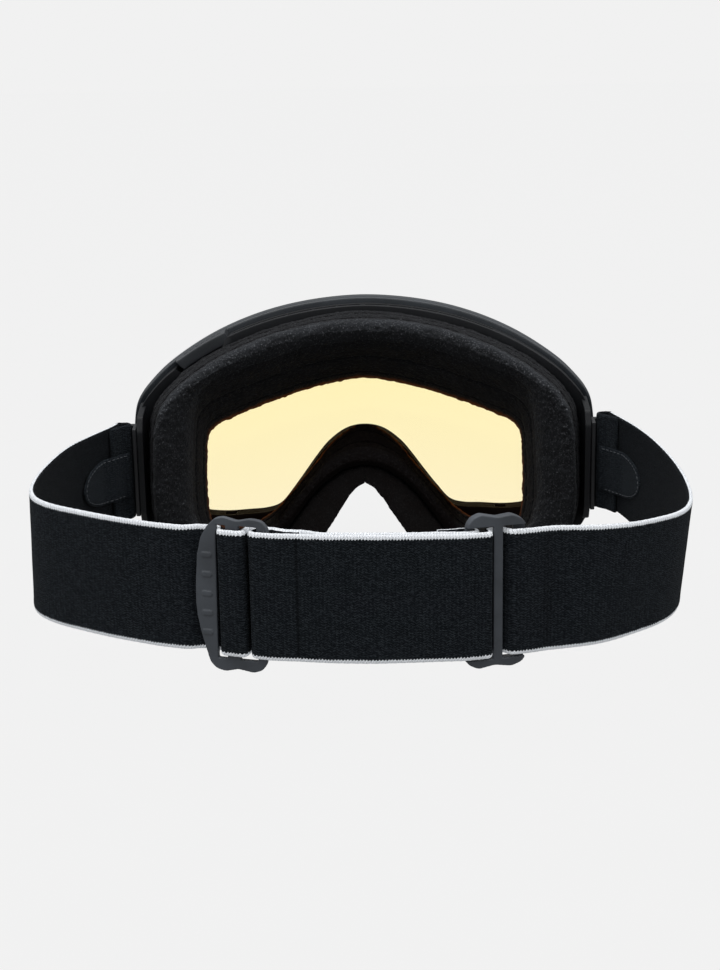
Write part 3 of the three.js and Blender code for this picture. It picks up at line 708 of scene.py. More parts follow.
# ------------------------------------------------------------------ the strap's run, from above
HALF_THICK = 1.7 / 2
REAR_SAG = 0.0036  # the strap's outermost surface across the back is y = REAR_SAG * x * x
LEFT_ADJUSTER_X, RIGHT_ADJUSTER_X = -38.2, 38.75
ROLL = 0.01745  # the back run hangs about a degree off level
FOLD_RADIUS = 1.25
BAR_FOLD_RADIUS = 1.85


def back(x, inset):
    """a point inset from the strap's outermost surface across the back"""
    slope = 2 * REAR_SAG * x
    length = math.hypot(1, slope)
    return (x - slope * inset / length, REAR_SAG * x * x + inset / length)


class Station:
    """a place on the strap's back surface; calling it gives a point along and inset from it"""

    def __init__(self, x):
        slope = 2 * REAR_SAG * x
        length = math.hypot(1, slope)
        self.x, self.y = x, REAR_SAG * x * x
        self.tangent = (1 / length, slope / length)
        self.inward = (-slope / length, 1 / length)

    def __call__(self, along, inset):
        return (self.x + self.tangent[0] * along + self.inward[0] * inset,
                self.y + self.tangent[1] * along + self.inward[1] * inset)


near_left, near_right = Station(LEFT_ADJUSTER_X), Station(RIGHT_ADJUSTER_X)

# (distance from the middle, y) of each open side; the left one bows out sooner
LEFT_SIDE = [
    (70.3, 18.7), (76.3, 21.9), (82.2, 25.6), (88.2, 29.5), (93.2, 32.8), (97.6, 36.6),
    (101.5, 41.3), (104.0, 47.8), (105.3, 55), (105.9, 62.5), (106.2, 76.4), (105.7, 93),
    (105.0, 106), (103.5, 118.4), (101, 128.3), (98.3, 137.0), (95.6, 144.6), (93.6, 150.2),
    (92.65, 154)]
RIGHT_SIDE = [
    (70.3, 14.9), (77.8, 18.3), (84, 22.2), (90, 26.9), (95.4, 32), (99.6, 38.8),
    (102.4, 47), (104.1, 56), (105.2, 66), (105.7, 78), (105.3, 91.5), (103.9, 105),
    (101.7, 118.6), (99, 130.4), (96.2, 140.6), (93.8, 149.4), (92.65, 154)]
# round the clip's bar and back: (distance from the middle, y, fillet radius)
CLIP_END = [(92.65, 155.85, 2.35), (87.95, 155.85, 2.35), (87.95, 152.0, 3), (91.0, 149.2, 4),
            (94.2, 143.4)]
# across the back and through the adjusters: (measured from, along or x, inset, fillet radius)
LEFT_THREADING = [
    (back, -62, HALF_THICK, 20), (near_left, -15.5, 2.4, 6), (near_left, -12.2, 4.75, 5),
    (near_left, -5.0, 4.75, FOLD_RADIUS), (near_left, -3.6, 0.65, FOLD_RADIUS),
    (near_left, 2.98, 0.65, FOLD_RADIUS), (near_left, 2.98, 6.75, FOLD_RADIUS),
    (near_left, 11, 6.75, 5), (back, -23.5, 4.9, 5), (back, -17.5, 4.9, 5),
    (back, -12.5, 2.9, 5), (back, 0, 2.9, 40), (back, 14, 2.9, 40), (back, 23, 2.9, 8),
    (near_right, -9.8, 2.0, 8), (near_right, -4.8, 2.0, BAR_FOLD_RADIUS),
    (near_right, -4.8, 5.7, BAR_FOLD_RADIUS), (near_right, -9.2, 5.7, 5),
    (back, 26.3, 4.9, 5), (back, 22.6, 4.9, 0)]
RIGHT_THREADING = [
    (back, -18.5, 2.9, 0), (back, -23, 2.9, 4), (near_left, 11.4, 4.75, 4),
    (near_left, 5.41, 4.75, 2.05), (near_left, 5.41, 0.65, 2.05), (near_left, 11.5, 0.65, 10),
    (back, -20, HALF_THICK, 30), (back, -9, HALF_THICK, 40), (back, 4, HALF_THICK, 40),
    (back, 17, HALF_THICK, 30), (near_right, -9.6, 0.05, 10),
    (near_right, -1.6, 0.05, FOLD_RADIUS), (near_right, -1.6, 4.05, FOLD_RADIUS),
    (near_right, 3.5, 4.05, FOLD_RADIUS), (near_right, 5.5, 1.15, FOLD_RADIUS),
    (near_right, 10.6, 1.1, 10), (back, 56, HALF_THICK, 20)]


def threaded(table):
    return [(*place(along, inset), radius) for place, along, inset, radius in table]


def even_stations(path):
    """even stations along the path; the open side runs are eased so their facets don't show"""
    _, p = evenly(path, step=0.25)
    smooth = eased(p, reach=40, width=14.0)
    open_run = (np.clip((np.abs(p[:, 0]) - 62) / 8, 0, 1)
                * np.clip((150 - p[:, 1]) / 8, 0, 1))
    # the folded end at the bar stays as drawn
    open_run[(np.abs(p[:, 0]) < 93.6) & (p[:, 1] > 149)] = 0
    share = np.convolve(np.pad(open_run, 12, mode="edge"), np.ones(25) / 25, "valid")[:, None]
    return evenly(p * (1 - share) + smooth * share, step=0.55)


# ------------------------------------------------------------------ the strap's shape
def section_points():
    """the band's cross-section (across, -1 outer to 1 inner), with rolled edges"""
    flat = [18.9, 17.9, 17.0, 14.0, 11.0, 8.0, 5.0, 2.0, 0.0]
    edge = []
    for i in range(7):
        angle = math.radians(-90 + 180 * i / 6)
        edge.append((19.28 + 0.72 * math.cos(angle), math.sin(angle)))
    right = [(v, -1.0) for v in reversed(flat)] + edge + [(v, 1.0) for v in flat]
    left = [(-v, n) for v, n in right[1:-1]][::-1]
    return np.array(right + left)


SECTION = section_points()
# the band's width as a factor: by x across the back, and one value beside the clips
WIDTH_AT = ([-100, -50, 0, 45, 57, 70, 83, 91, 100],
            [0.962, 0.965, 0.982, 0.967, 0.963, 0.932, 0.900, 0.888, 0.862])
CLIP_WIDTH = 0.905


def smooth_step(start, end, x):
    f = min(1.0, max(0.0, (x - start) / (end - start)))
    return f * f * (3 - 2 * f)


def roll_z(x, y):
    forward = smooth_step(60, 150, y)
    return -x * ROLL * (1 - forward) + (2.0 if x > 0 else 0.5) * forward


def band_z(x, y, across):
    """height of the strap's point `across` its width, at (x, y) along its run"""
    near = float(np.interp(x, *WIDTH_AT))
    width = near + (CLIP_WIDTH - near) * smooth_step(60, 150, y)
    return across * width + roll_z(x, y)


def lean_x(x, y, across):
    """the loop leans to the left a little toward its lower edge"""
    amount = 2.8 if x > 0 else 0.9
    return (-amount * (18 - across) / 36 * smooth_step(62, 88, abs(x))
            * (1 - smooth_step(100, 150, y)))


def seam_at(x):
    """strength of the sewn lines across the right strap's outer face"""
    return math.exp(-((x + 19.1) / 0.45) ** 2) + 0.35 * math.exp(-((x - 54.0) / 1.3) ** 2)


Band = namedtuple("Band", "distances points normals folded salt sewn")


def make_band(path, salt, sewn):
    """stations of one strap; salt sets its noise, sewn gives it seams"""
    distances, points = even_stations(path)
    tangents = np.gradient(points, axis=0)
    tangents /= np.linalg.norm(tangents, axis=1)[:, None]
    # 1 past the point where the band first reaches the bar
    at_bar = np.nonzero(points[:, 1] > 154.6)[0]
    folded = np.zeros(len(points))
    if at_bar[0] > len(points) / 2:
        folded[at_bar[0]:] = 1.0
    else:
        folded[:at_bar[-1] + 1] = 1.0
    normals = np.stack([-tangents[:, 1], tangents[:, 0]], 1)
    return Band(distances, points, normals, folded, salt, sewn)


def strap_part(name, band, start, end, capped):
    verts, values = [], []
    for i in range(start, end + 1):
        s, (x, y) = band.distances[i], band.points[i]
        # the selvedge's small loops push the very edge in and out; the face waves a little
        loops = 0.16 * abs(math.sin(math.pi * s / CORD_PITCH)) - 0.12
        wave = 0.06 * noise.noise(Vector((s * 0.09, band.salt, 0.0)))
        for v, n in SECTION:
            seam = seam_at(x) if band.sewn and n < 0 else 0.0
            across = v + math.copysign(loops * max(0.0, (abs(v) - 18.9) / 1.1), v)
            belly = 0.05 * noise.noise(Vector((s * 0.12, v * 0.12, band.salt * 3.1)))
            off = n * HALF_THICK + belly + wave
            if n < 0:
                off += 0.22 * seam
            if 17.6 < abs(v) < 19.0:
                off += 0.05 * n
            px, py = band.points[i] + band.normals[i] * off
            verts.append((px + lean_x(x, y, across), py, band_z(x, y, across)))
            values.append((s, across, n, band.folded[i], seam))
    attributes = dict(zip(("s", "v", "n", "fold", "seam"), np.array(values).T))
    ob = make(name, verts, grid_faces(end - start + 1, len(SECTION)), STRAP_KNIT, attributes)
    if capped:
        edit_mesh(ob, fill=True)
    return ob


def first_past(points, x, start):
    """first station at or past x, from index start on"""
    return start + int(np.argmax(points[start:, 0] >= x))


def cad_point(x, y):
    return tuple(to_cad((x, y, 0.0)))


LEFT_PATH = rounded([*[(-p[0], *p[1:]) for p in LEFT_SIDE + CLIP_END][::-1],
                     *threaded(LEFT_THREADING)])
RIGHT_PATH = rounded([*threaded(RIGHT_THREADING), *RIGHT_SIDE, *CLIP_END])
LEFT_BAND = make_band(LEFT_PATH, salt=1.0, sewn=False)
RIGHT_BAND = make_band(RIGHT_PATH, salt=7.0, sewn=True)

# where each part passes from one moving body to the next: body, body, from, to
MIDDLE = cad_point(0, 0)
TEMPLES = {"left": (cad_point(-97.0, 122.0), cad_point(-68.0, 17.5)),
           "right": (cad_point(97.0, 122.0), cad_point(68.0, 17.5))}
LEFT_TEMPLE_BLEND = ("strap_clips", "strap_band", *TEMPLES["left"])
RIGHT_TEMPLE_BLEND = ("strap_band", "strap_clips", *TEMPLES["right"][::-1])
LEFT_BACK_BLEND = ("strap_band", "left_slider", cad_point(-66, 15.7), cad_point(-48, 8.3))
RIGHT_BACK_BLEND = ("right_slider", "strap_band", cad_point(48, 8.3), cad_point(66, 15.7))
LEFT_MIDDLE_BLEND = ("left_slider", "strap_band", cad_point(-29, 3.0), MIDDLE)
RIGHT_MIDDLE_BLEND = ("strap_band", "right_slider", MIDDLE, cad_point(30, 3.2))


def strap(side, band, search_from, cut_xs, parts):
    """one strap cut at cut_xs into parts of (name, blend); its two end parts are capped"""
    cuts = [int(len(band.points) * search_from)]
    for x in cut_xs:
        cuts.append(first_past(band.points, x, cuts[-1]))
    cuts = [0, *cuts[1:], len(band.points) - 1]
    for i, (part, blend) in enumerate(parts):
        capped = i in (0, len(parts) - 1)
        ob = strap_part(f"{side}_strap_{part}", band, cuts[i], cuts[i + 1], capped)
        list(blend)
        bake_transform(ob)
        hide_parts(f"{side}_strap")


strap("left", LEFT_BAND, 0.25, (-66.0, -48.0, 0.0),
      (("temple", LEFT_TEMPLE_BLEND), ("back", LEFT_BACK_BLEND),
       ("buckle", LEFT_MIDDLE_BLEND), ("end", RIGHT_MIDDLE_BLEND)))
strap("right", RIGHT_BAND, 0.18, (0.0, 48.0, 66.0),
      (("end", LEFT_MIDDLE_BLEND), ("buckle", RIGHT_MIDDLE_BLEND),
       ("back", RIGHT_BACK_BLEND), ("temple", RIGHT_TEMPLE_BLEND)))


# ------------------------------------------------------------------ solid bodies
def solid(points, faces):
    """closed bmesh from points and tuples of point indices"""
    bm = bmesh.new()
    verts = [bm.verts.new(p) for p in points]
    for face in faces:
        bm.faces.new([verts[i] for i in face])
    bmesh.ops.recalc_face_normals(bm, faces=bm.faces)
    return bm


def prism(polygon, start, end, place):
    """prism of a polygon (a, b) between two depths; place maps (a, b, depth) to the frame"""
    n = len(polygon)
    faces = [range(n), range(2 * n - 1, n - 1, -1)]
    faces += [(i, n + i, n + (i + 1) % n, (i + 1) % n) for i in range(n)]
    return solid([place(a, b, d) for d in (start, end) for a, b in polygon], faces)


def brick(xs, ys, zs, place=lambda *p: p):
    return solid([place(x, y, z) for x in xs for y in ys for z in zs],
                 ((0, 1, 3, 2), (4, 6, 7, 5), (0, 4, 5, 1), (2, 3, 7, 6), (0, 2, 6, 4),
                  (1, 5, 7, 3)))


def rod(start, end, radius, count=24):
    start, end = Vector(start), Vector(end)
    axis = (end - start).normalized()
    u = axis.orthogonal().normalized()
    v = axis.cross(u)
    angles = [2 * math.pi * i / count for i in range(count)]
    points = [p + (u * math.cos(w) + v * math.sin(w)) * radius
              for p in (start, end) for w in angles]
    faces = [(i, count + i, count + (i + 1) % count, (i + 1) % count) for i in range(count)]
    return solid(points, [*faces, range(count - 1, -1, -1), range(count, 2 * count)])


def add_bodies(mesh, bodies):
    whole = bmesh.new()
    whole.from_mesh(mesh)
    for body in bodies:
        piece = bpy.data.meshes.new("tmp")
        body.to_mesh(piece)
        body.free()
        whole.from_mesh(piece)
        bpy.data.meshes.remove(piece)
    whole.to_mesh(mesh)
    whole.free()


def body_object(name, bodies, materials=()):
    """closed bodies as one object, still in working millimetres"""
    mesh = bpy.data.meshes.new(name)
    add_bodies(mesh, bodies)
    return add_object(name, mesh, materials)


def cut_with(ob, bodies):
    """subtracts the bodies one by one"""
    for body in bodies:
        cutter = body_object("cutter", [body])
        add_modifier(ob, "BOOLEAN", operation="DIFFERENCE", solver="EXACT", object=cutter)
        apply_all(ob)
        bpy.data.objects.remove(cutter)


def melt(ob, voxel, smooth, bend=False):
    """melts the bodies into one softened moulding and moves it to the CAD's frame"""
    materials = list(ob.data.materials)
    add_modifier(ob, "REMESH", mode="VOXEL", voxel_size=voxel)
    add_modifier(ob, "SMOOTH", iterations=smooth, factor=0.5)
    apply_all(ob)
    mesh = ob.data
    points = get_points(mesh).astype(float)
    if bend:
        points[:, 1] = bent(points[:, 0], points[:, 1])
    set_points(mesh, to_cad(points))
    mesh.materials.clear()
    for material in materials:
        mesh.materials.append(material)
    mesh.shade_smooth()


# ------------------------------------------------------------------ adjusters
# plate outlines (along the strap, z)
LEFT_PLATE = [
    (-3.4, 22.9), (-5.9, 22.3), (-8.3, 19.9), (-10.4, 16.2), (-11.6, 10.6), (-12.1, 2.7),
    (-12.25, -3.7), (-11.75, -8.4), (-10.8, -13.1), (-9.2, -18.6), (-8.1, -22.3), (-6.1, -24.3),
    (-3.3, -24.9), (0.7, -23.9), (5.5, -24.6), (8.3, -23.6), (9.6, -21.5), (9.8, -19.2),
    (9.3, -17.6), (9.6, 17), (10.6, 18.3), (10.1, 20.6), (8.3, 22.5), (4.8, 22.8), (0.9, 21.9)]
RIGHT_PLATE = [
    (-7.6, 16.6), (-8.3, 18.6), (-7.95, 21.4), (-6.6, 23.2), (-4.1, 24.3), (1.0, 23.1),
    (5.7, 23.6), (8.7, 22.2), (10.2, 19.8), (9.9, 17.3), (9.2, 15), (9.0, -15), (9.5, -17.0),
    (10.2, -19.6), (9.1, -22.0), (5.6, -23.2), (0.3, -22.3), (-4.8, -23.1), (-8.0, -21.5),
    (-9.1, -18.6), (-8.4, -16.6)]
PLATE_ROUNDING = 3.0
SLOT_TOP = 20.4
# slots cut through a plate: (from, to) along the strap, (from, to) inward
LEFT_SLOTS = [((-5.6, -2.6), (0, 6)), ((1.3, 6.95), (0, 6))]
RIGHT_SLOTS = [((-14, -0.15), (0, 3.1)), ((2.75, 14), (0, 3.1)), ((-0.8, 3.4), (2.9, 6)),
               ((-5.9, -0.15), (0, 6)), ((2.75, 6.5), (0, 6))]
LEFT_RIB_HEIGHTS = (-13, -7, -1, 5, 11)
RIB_ENDS, RIB_HALF_HEIGHT = (-10.0, -7.0), 0.75


def adjuster(side, station, plate, depths, slots, slot_low, rib_heights=()):
    z0 = roll_z(station.x, 0.0)
    # the left adjuster is turned with the band's roll
    roll = ROLL if station.x < 0 else 0.0

    def place(along, z, inset):
        x, y = station(along + roll * z, inset)
        return x, y, z + z0 - roll * along

    ob = body_object(f"{side}_adjuster_moulding",
                     [prism(closed_round(plate, PLATE_ROUNDING), *depths, place)],
                     (ADJUSTER_PLASTIC,))
    cut_with(ob, [brick(run, (slot_low, SLOT_TOP), inset, place) for run, inset in slots])
    ribs = []
    for z in rib_heights:
        low, high = z - RIB_HALF_HEIGHT, z + RIB_HALF_HEIGHT
        start, end = RIB_ENDS
        corners = [(start, low), (end, low), (end, high), (start, high)]
        ribs.append(prism(closed_round(corners, 0.7), 1.5, 2.2, place))
    if ribs:
        add_bodies(ob.data, ribs)
    melt(ob, voxel=0.2, smooth=5)
    register(ob, f"{side}_slider", "adjuster", f"{side}_adjuster")


adjuster("left", near_left, LEFT_PLATE, (1.8, 3.6), LEFT_SLOTS, -SLOT_TOP - 0.5, LEFT_RIB_HEIGHTS)
adjuster("right", near_right, RIGHT_PLATE, (1.4, 4.6), RIGHT_SLOTS, -SLOT_TOP)

# ------------------------------------------------------------------ strap clips
PIVOT = (160.5, 0.0)  # (y, z)
BAR = (90.3, 153.5)  # (distance from the middle, y)


def sideways(side):
    """maps (y, z, distance from the middle) to the frame"""
    return lambda y, z, distance: (side * distance, y, z)


def disc(start, end, radius, side, flat_at=None, count=40):
    """disc round the pivot, cut flat on its rear at y = flat_at"""
    y, z = PIVOT
    pts = [(y + radius * math.cos(2 * math.pi * i / count),
            z + radius * math.sin(2 * math.pi * i / count)) for i in range(count)]
    if flat_at is not None:
        pts = [(max(a, flat_at), b) for a, b in pts]
    return prism(pts, start, end, sideways(side))


def clip(side, tag):
    front_plate = [(157.1, -17.6), (160.15, -17.2), (160.15, 17.2), (157.1, 17.6)]
    inner_plate = [(151.6, -17.0), (157.8, -17.6), (157.8, 17.6), (151.6, 17.0)]
    bar_x, bar_y = side * BAR[0], BAR[1]
    parts = [disc(85.25, 87.2, 5.0, side, flat_at=157.0),
             disc(83.25, 85.7, 2.15, side),
             disc(82.65, 83.3, 3.2, side),
             prism(closed_round(front_plate, 0.6), 85.2, 92.6, sideways(side)),
             prism(closed_round(inner_plate, 0.6), 85.2, 86.7, sideways(side)),
             # ears that hold the bar's ends
             *[brick(sorted((side * 89.1, side * 91.5)), (153.2, 160.1), zs)
               for zs in ((12.4, 14.4), (-14.4, -12.4))],
             rod((bar_x, bar_y, -13.6), (bar_x, bar_y, 13.6), 1.2)]
    ob = body_object(f"{tag}_clip_moulding", parts, (CLIP_PLASTIC,))
    melt(ob, voxel=0.24, smooth=4)
    register(ob, "strap_clips", "clip", f"{tag}_strap_clip")


for _side, _tag in SIDES:
    clip(_side, _tag)

# ------------------------------------------------------------------ strap tabs and stitching
# (y, top, bottom) of the tab, wide over the clip and rounding to a tip behind it
TAB_PROFILE = [
    (151.5, 8.4, -8.6), (142.5, 8.6, -8.6), (137, 8.4, -8.4), (133, 7.8, -7.8),
    (129.5, 6.7, -6.7), (126.5, 5.3, -5.3), (124.5, 3.8, -3.8), (123.2, 2.2, -2.2),
    (122.5, 0.6, -0.6)]
# (distance from the middle, y) of the tab's line over the band's turned-back end
TAB_END = [(92.7, 142.6), (91.1, 145.5), (89.5, 148.2), (87.2, 150.2)]
TAB_HALF_THICK = 0.42
TAB_GAP = 0.8  # from the band's inner face to the tab's centre line
STITCH_INSET, STITCH_SPACING, STITCH_HALF = 0.95, 1.9, 0.62
STITCH_RADII = (0.09, 0.15, 0.09)


def on_line(line, y, side, reach):
    """x of a line sorted by y, and its unit normal toward the head"""
    x = np.interp(y, line[:, 1], line[:, 0])
    dx = (np.interp(y + reach, line[:, 1], line[:, 0])
          - np.interp(y - reach, line[:, 1], line[:, 0]))
    normal = np.array([-side * 2 * reach, side * dx])
    return x, normal / np.linalg.norm(normal)


def tab_line(path, side):
    """the tab's centre line: inside the band behind the clip, then over its turned-back end"""
    x, y = path[:, 0], path[:, 1]
    near = path[(np.sign(x) == side) & (y > 105) & (y < 141) & (np.abs(x) > 95.2)]
    near = near[np.argsort(near[:, 1])]
    points = []
    for y in np.arange(121.0, 139.9, 1.0):
        x, normal = on_line(near, y, side, 1)
        points.append((x + normal[0] * (HALF_THICK + TAB_GAP),
                       y + normal[1] * (HALF_THICK + TAB_GAP)))
    points += [(side * x, y) for x, y in TAB_END]
    return eased(evenly(np.array(points), count=90)[1], reach=5, width=2.2)


def tab_cloth(tag, line, side, edges):
    verts, values = [], []
    for y, top, low in edges:
        x, normal = on_line(line, y, side, 0.6)
        inset = min(0.35, (top - low) * 0.3)
        heights = [low + inset + (top - low - 2 * inset) * f for f in np.linspace(0, 1, 9)]
        section = [*[(z, -TAB_HALF_THICK) for z in heights], (top, 0.0),
                   *[(z, TAB_HALF_THICK) for z in heights[::-1]], (low, 0.0)]
        for z, off in section:
            verts.append((x + normal[0] * off, y + normal[1] * off, z))
            values.append((y, z, 0.0, 0.0, 0.0))
    attributes = dict(zip(("s", "v", "n", "fold", "seam"), np.array(values).T))
    ob = make(f"{tag}_tab_cloth", verts, grid_faces(len(edges), len(section)), TAB_KNIT,
              attributes)
    edit_mesh(ob, fill=True, orient=True)
    return ob


def tab_stitching(tag, line, side, edges):
    """a dashed run of stitches a little inside the tab's edge"""
    inside = [(y, top - STITCH_INSET, low + STITCH_INSET)
              for y, top, low in edges if 125.3 < y < 149]
    run = np.array([(y, top) for y, top, _ in inside] + [(124.1, 1.6), (123.7, 0.0), (124.1, -1.6)]
                   + [(y, low) for y, _, low in inside][::-1])
    lengths = run_length(run)
    verts, faces = [], []
    for middle in np.arange(0.9, lengths[-1] - 0.9, STITCH_SPACING):
        pts = []
        for shift in (-STITCH_HALF, 0.0, STITCH_HALF):
            y, z = (np.interp(middle + shift, lengths, run[:, k]) for k in (0, 1))
            x, normal = on_line(line, y, side, 0.6)
            off = TAB_HALF_THICK + (0.07 if shift == 0 else -0.03)
            pts.append(np.array([x + normal[0] * off, y + normal[1] * off, z]))
        along = (pts[2] - pts[0]) / np.linalg.norm(pts[2] - pts[0])
        outward = np.array([normal[0], normal[1], 0])
        across = np.cross(along, outward)
        base = len(verts)
        for p, radius in zip(pts, STITCH_RADII):
            for w in range(6):
                angle = 2 * math.pi * w / 6
                verts.append(p + (outward * math.cos(angle) + across * math.sin(angle)) * radius)
        for row in (base, base + 6):
            faces += [(row + w, row + (w + 1) % 6, row + 6 + (w + 1) % 6, row + 6 + w)
                      for w in range(6)]
        end = base + 12
        faces += [(base, base + 1, base + 2, base + 3), (base, base + 3, base + 4, base + 5),
                  (end, end + 3, end + 2, end + 1), (end, end + 5, end + 4, end + 3)]
    ob = make(f"{tag}_tab_stitching", verts, faces, THREAD)
    edit_mesh(ob, orient=True)
    return ob


def strap_tab(side, tag, path):
    line = tab_line(path, side)
    ys = np.concatenate([np.linspace(149.6, 134, 24), np.linspace(133.2, 124.4, 14),
                         np.linspace(124.0, 122.52, 7)])
    profile_y, profile_top, profile_low = zip(*TAB_PROFILE[::-1])
    edges = list(zip(ys, np.interp(ys, profile_y, profile_top),
                     np.interp(ys, profile_y, profile_low)))
    cloth = tab_cloth(tag, line, side, edges)
    for ob in (cloth, tab_stitching(tag, line, side, edges)):
        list(TEMPLES[tag])
        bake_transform(ob)
    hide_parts(f"{tag}_strap_tab")


for (_side, _tag), _band in zip(SIDES, (LEFT_BAND, RIGHT_BAND)):
    strap_tab(_side, _tag, _band.points)

# ------------------------------------------------------------------ frame
WING_X = (82.45, 84.85)  # inner and outer faces of the frame's side wings
WING = [(149.7, -15), (149.7, 16), (152.5, 21.5), (168, 24.6), (168, -23.2), (152.5, -20.5)]
# (name, depths) of the frame's two skins, and the depths of what stands between them
SKINS = (("frame_front_skin", (201.7, 203.95)), ("frame_rear_skin", (196.05, 198.3)))
WALL_DEPTHS = (198.0, 202.0)
SKIN_EDGE = 0.085
# (from, to) in x: outer wall runs (x, on the upper run), and blocks between the vent slots
WALL_RUNS = [((51.5, True), (74.5, False)), ((60.5, False), (-60.5, False)),
             ((-74.5, False), (-51.5, True))]
BROW_BLOCKS = [(-51.5, -48.5), (-35.5, -27.5), (-14.5, -6.5), (6.5, 14.5), (27.5, 35.5),
               (48.5, 51.5)]
CHEEK_BLOCKS = [(74.5, 66.5), (61.5, 60.5), (-60.5, -61.5), (-66.5, -74.5)]
FIN_XS = (-41, -30.5, -20, -10, 0, 10, 20, 30.5, 41)
NOTCH_X = (-71.6, -53.4)
LIP_REACH = 3.2


def index_at(x, top=True):
    """outline index nearest x on the upper or the lower run"""
    on_run = RIM[:, 1] > 15 if top else RIM[:, 1] < -15
    return int(np.argmin(np.abs(RIM[:, 0] - x) + (~on_run) * 1e3))


def top_span(x0, x1):
    """outline run between two places on the upper run, in the outline's own order"""
    return sorted((index_at(x0), index_at(x1)),
                  key=lambda i: (i + OUTLINE_COUNT // 2) % OUTLINE_COUNT)


def low_span(x0, x1):
    return index_at(x0, False), index_at(x1, False)


def frame_curve(inward, depth):
    """the rim's outline held within the wings' outer faces"""
    curve = rim_curve(inward)
    curve[:, 0] = np.clip(curve[:, 0], -WING_X[1], WING_X[1])
    return curve


def frame_wall(name, across, span):
    section = rounded_section(across, WALL_DEPTHS, (0.01, 0.3), cuts=(8, 2))
    return ring(name, section, frame_curve, FRAME_PLASTIC, span=span)


def frame_wing(side, tag):
    ob = body_object(f"frame_wing_{tag}", [prism(closed_round(WING, 2.4), *WING_X, sideways(side))],
                     (FRAME_PLASTIC,))
    # the clip's pin hole and the wider recess for the pin's head
    cut_with(ob, [rod((side * 80, *PIVOT), (side * 90, *PIVOT), 2.3, 40),
                  rod((side * 81.5, *PIVOT), (side * 83.35, *PIVOT), 3.6, 48)])
    melt(ob, voxel=0.3, smooth=3)
    return ob


def step_back(ob):
    """lowers the upper outer edge to make the notch that the lens release tab sits in"""
    points = get_points(ob.data).astype(float)
    x = points[:, 0] * 1000 - SHIFT_X
    z = points[:, 2] * 1000 - SHIFT_Z
    inside = (np.clip((x - NOTCH_X[0]) / 0.5, 0, 1) * np.clip((NOTCH_X[1] - x) / 0.5, 0, 1)
              * (z > 15))
    floor = rim_curve(0.19)[RIM[:, 1] > 15]
    floor = floor[np.argsort(floor[:, 0])]
    lowered = np.minimum(z, np.interp(x, floor[:, 0], floor[:, 1]))
    points[:, 2] = (z + (lowered - z) * inside + SHIFT_Z) / 1000
    set_points(ob.data, points)


def colour_lip(ob):
    """faces round the opening, lit only by the tinted light through the lens"""
    mesh = ob.data
    mesh.materials.append(FRAME_LIP)
    centres = working(read_vectors(mesh.polygons, "center"))
    distance = np.full(len(centres), 1e9)
    for x, z in OPENING[::2]:
        distance = np.minimum(distance, np.hypot(centres[:, 0] - x, centres[:, 2] - z))
    index = np.where(distance < LIP_REACH, len(mesh.materials) - 1, 0).astype(np.int32)
    mesh.polygons.foreach_set("material_index", index)
    mesh.update()


def build_frame():
    skins = [ring(name, rounded_section((SKIN_EDGE, 1.0), depths, (0.012, 0.5), cuts=(8, 2)),
                  frame_curve, FRAME_PLASTIC) for name, depths in SKINS]
    walls = [frame_wall(f"frame_wall_{i}", (0.087, 0.998), (index_at(*start), index_at(*end)))
             for i, (start, end) in enumerate(WALL_RUNS)]
    parts = [*skins, *walls]
    # inner wall behind the vent slots, with the openings through it left clear
    for group, blocks, span in (("brow", BROW_BLOCKS, top_span), ("cheek", CHEEK_BLOCKS, low_span)):
        parts += [frame_wall(f"frame_{group}_block_{i}", (0.44, 0.998), span(*block))
                  for i, block in enumerate(blocks)]
    # thin fins that stand across the vent slots
    parts += [frame_wall(f"frame_fin_{i}", (0.10, 0.42), top_span(x - 0.6, x + 0.6))
              for i, x in enumerate(FIN_XS)]
    parts += [frame_wing(side, tag) for side, tag in SIDES]
    for ob in (*skins, walls[0], walls[2]):
        step_back(ob)
    lift_to_floor(*parts)
    for ob in parts:
        colour_lip(ob)
        register(ob, "goggle", "frame")
    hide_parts("frame")


build_frame()

# ------------------------------------------------------------------ lens rim with its thumb tab
# (fraction from the rim to the opening, depth)
RIM_PROFILE = [
    (0.26, 204.35), (0.262, 205.6), (0.255, 206.5), (0.24, 206.88), (0.08, 206.9),
    (0.077, 207.3), (0.076, 210.9), (0.071, 211.6), (0.06, 211.93), (0.03, 211.98),
    (0.014, 211.8), (0.004, 211.2), (0.0, 210.4), (0.0, 206.2), (0.003, 205.3),
    (0.010, 204.8), (0.022, 204.45), (0.04, 204.32)]
RELEASE_TAB_X = (-71.5, -53.5)
GRIP_COUNT, GRIP_START, GRIP_PITCH, GRIP_WIDTH = 7, -69.0, 2.1, 0.7


def build_rim():
    rim = ring("lens_rim_moulding", RIM_PROFILE, rim_curve, RIM_PLASTIC, sharp=50)
    tab_section = rounded_section((0.004, 0.184), (196.4, 205.2), (0.03, 0.9), 5, cuts=(3, 4))
    parts = [rim, ring("lens_release_tab", tab_section, rim_curve, RELEASE_PLASTIC, sharp=50,
                       span=top_span(*RELEASE_TAB_X))]
    grip_section = rounded_section((-0.003, 0.02), (198.6, 203.6), (0.006, 0.5), cuts=(2, 2))
    for i in range(GRIP_COUNT):
        x = GRIP_START + GRIP_PITCH * i
        parts.append(ring(f"release_tab_grip_{i}", grip_section, rim_curve, RELEASE_PLASTIC,
                          span=top_span(x, x + GRIP_WIDTH)))
    lift_to_floor(rim)
    for ob in parts:
        register(ob, "lens_assembly", "rim")
    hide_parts("lens_rim")


build_rim()

# ------------------------------------------------------------------ lenses
LENS_EDGE = 0.094  # fraction from the rim to the opening
LENS_RINGS = 26
LENS_MIDDLE_Z = 25.0


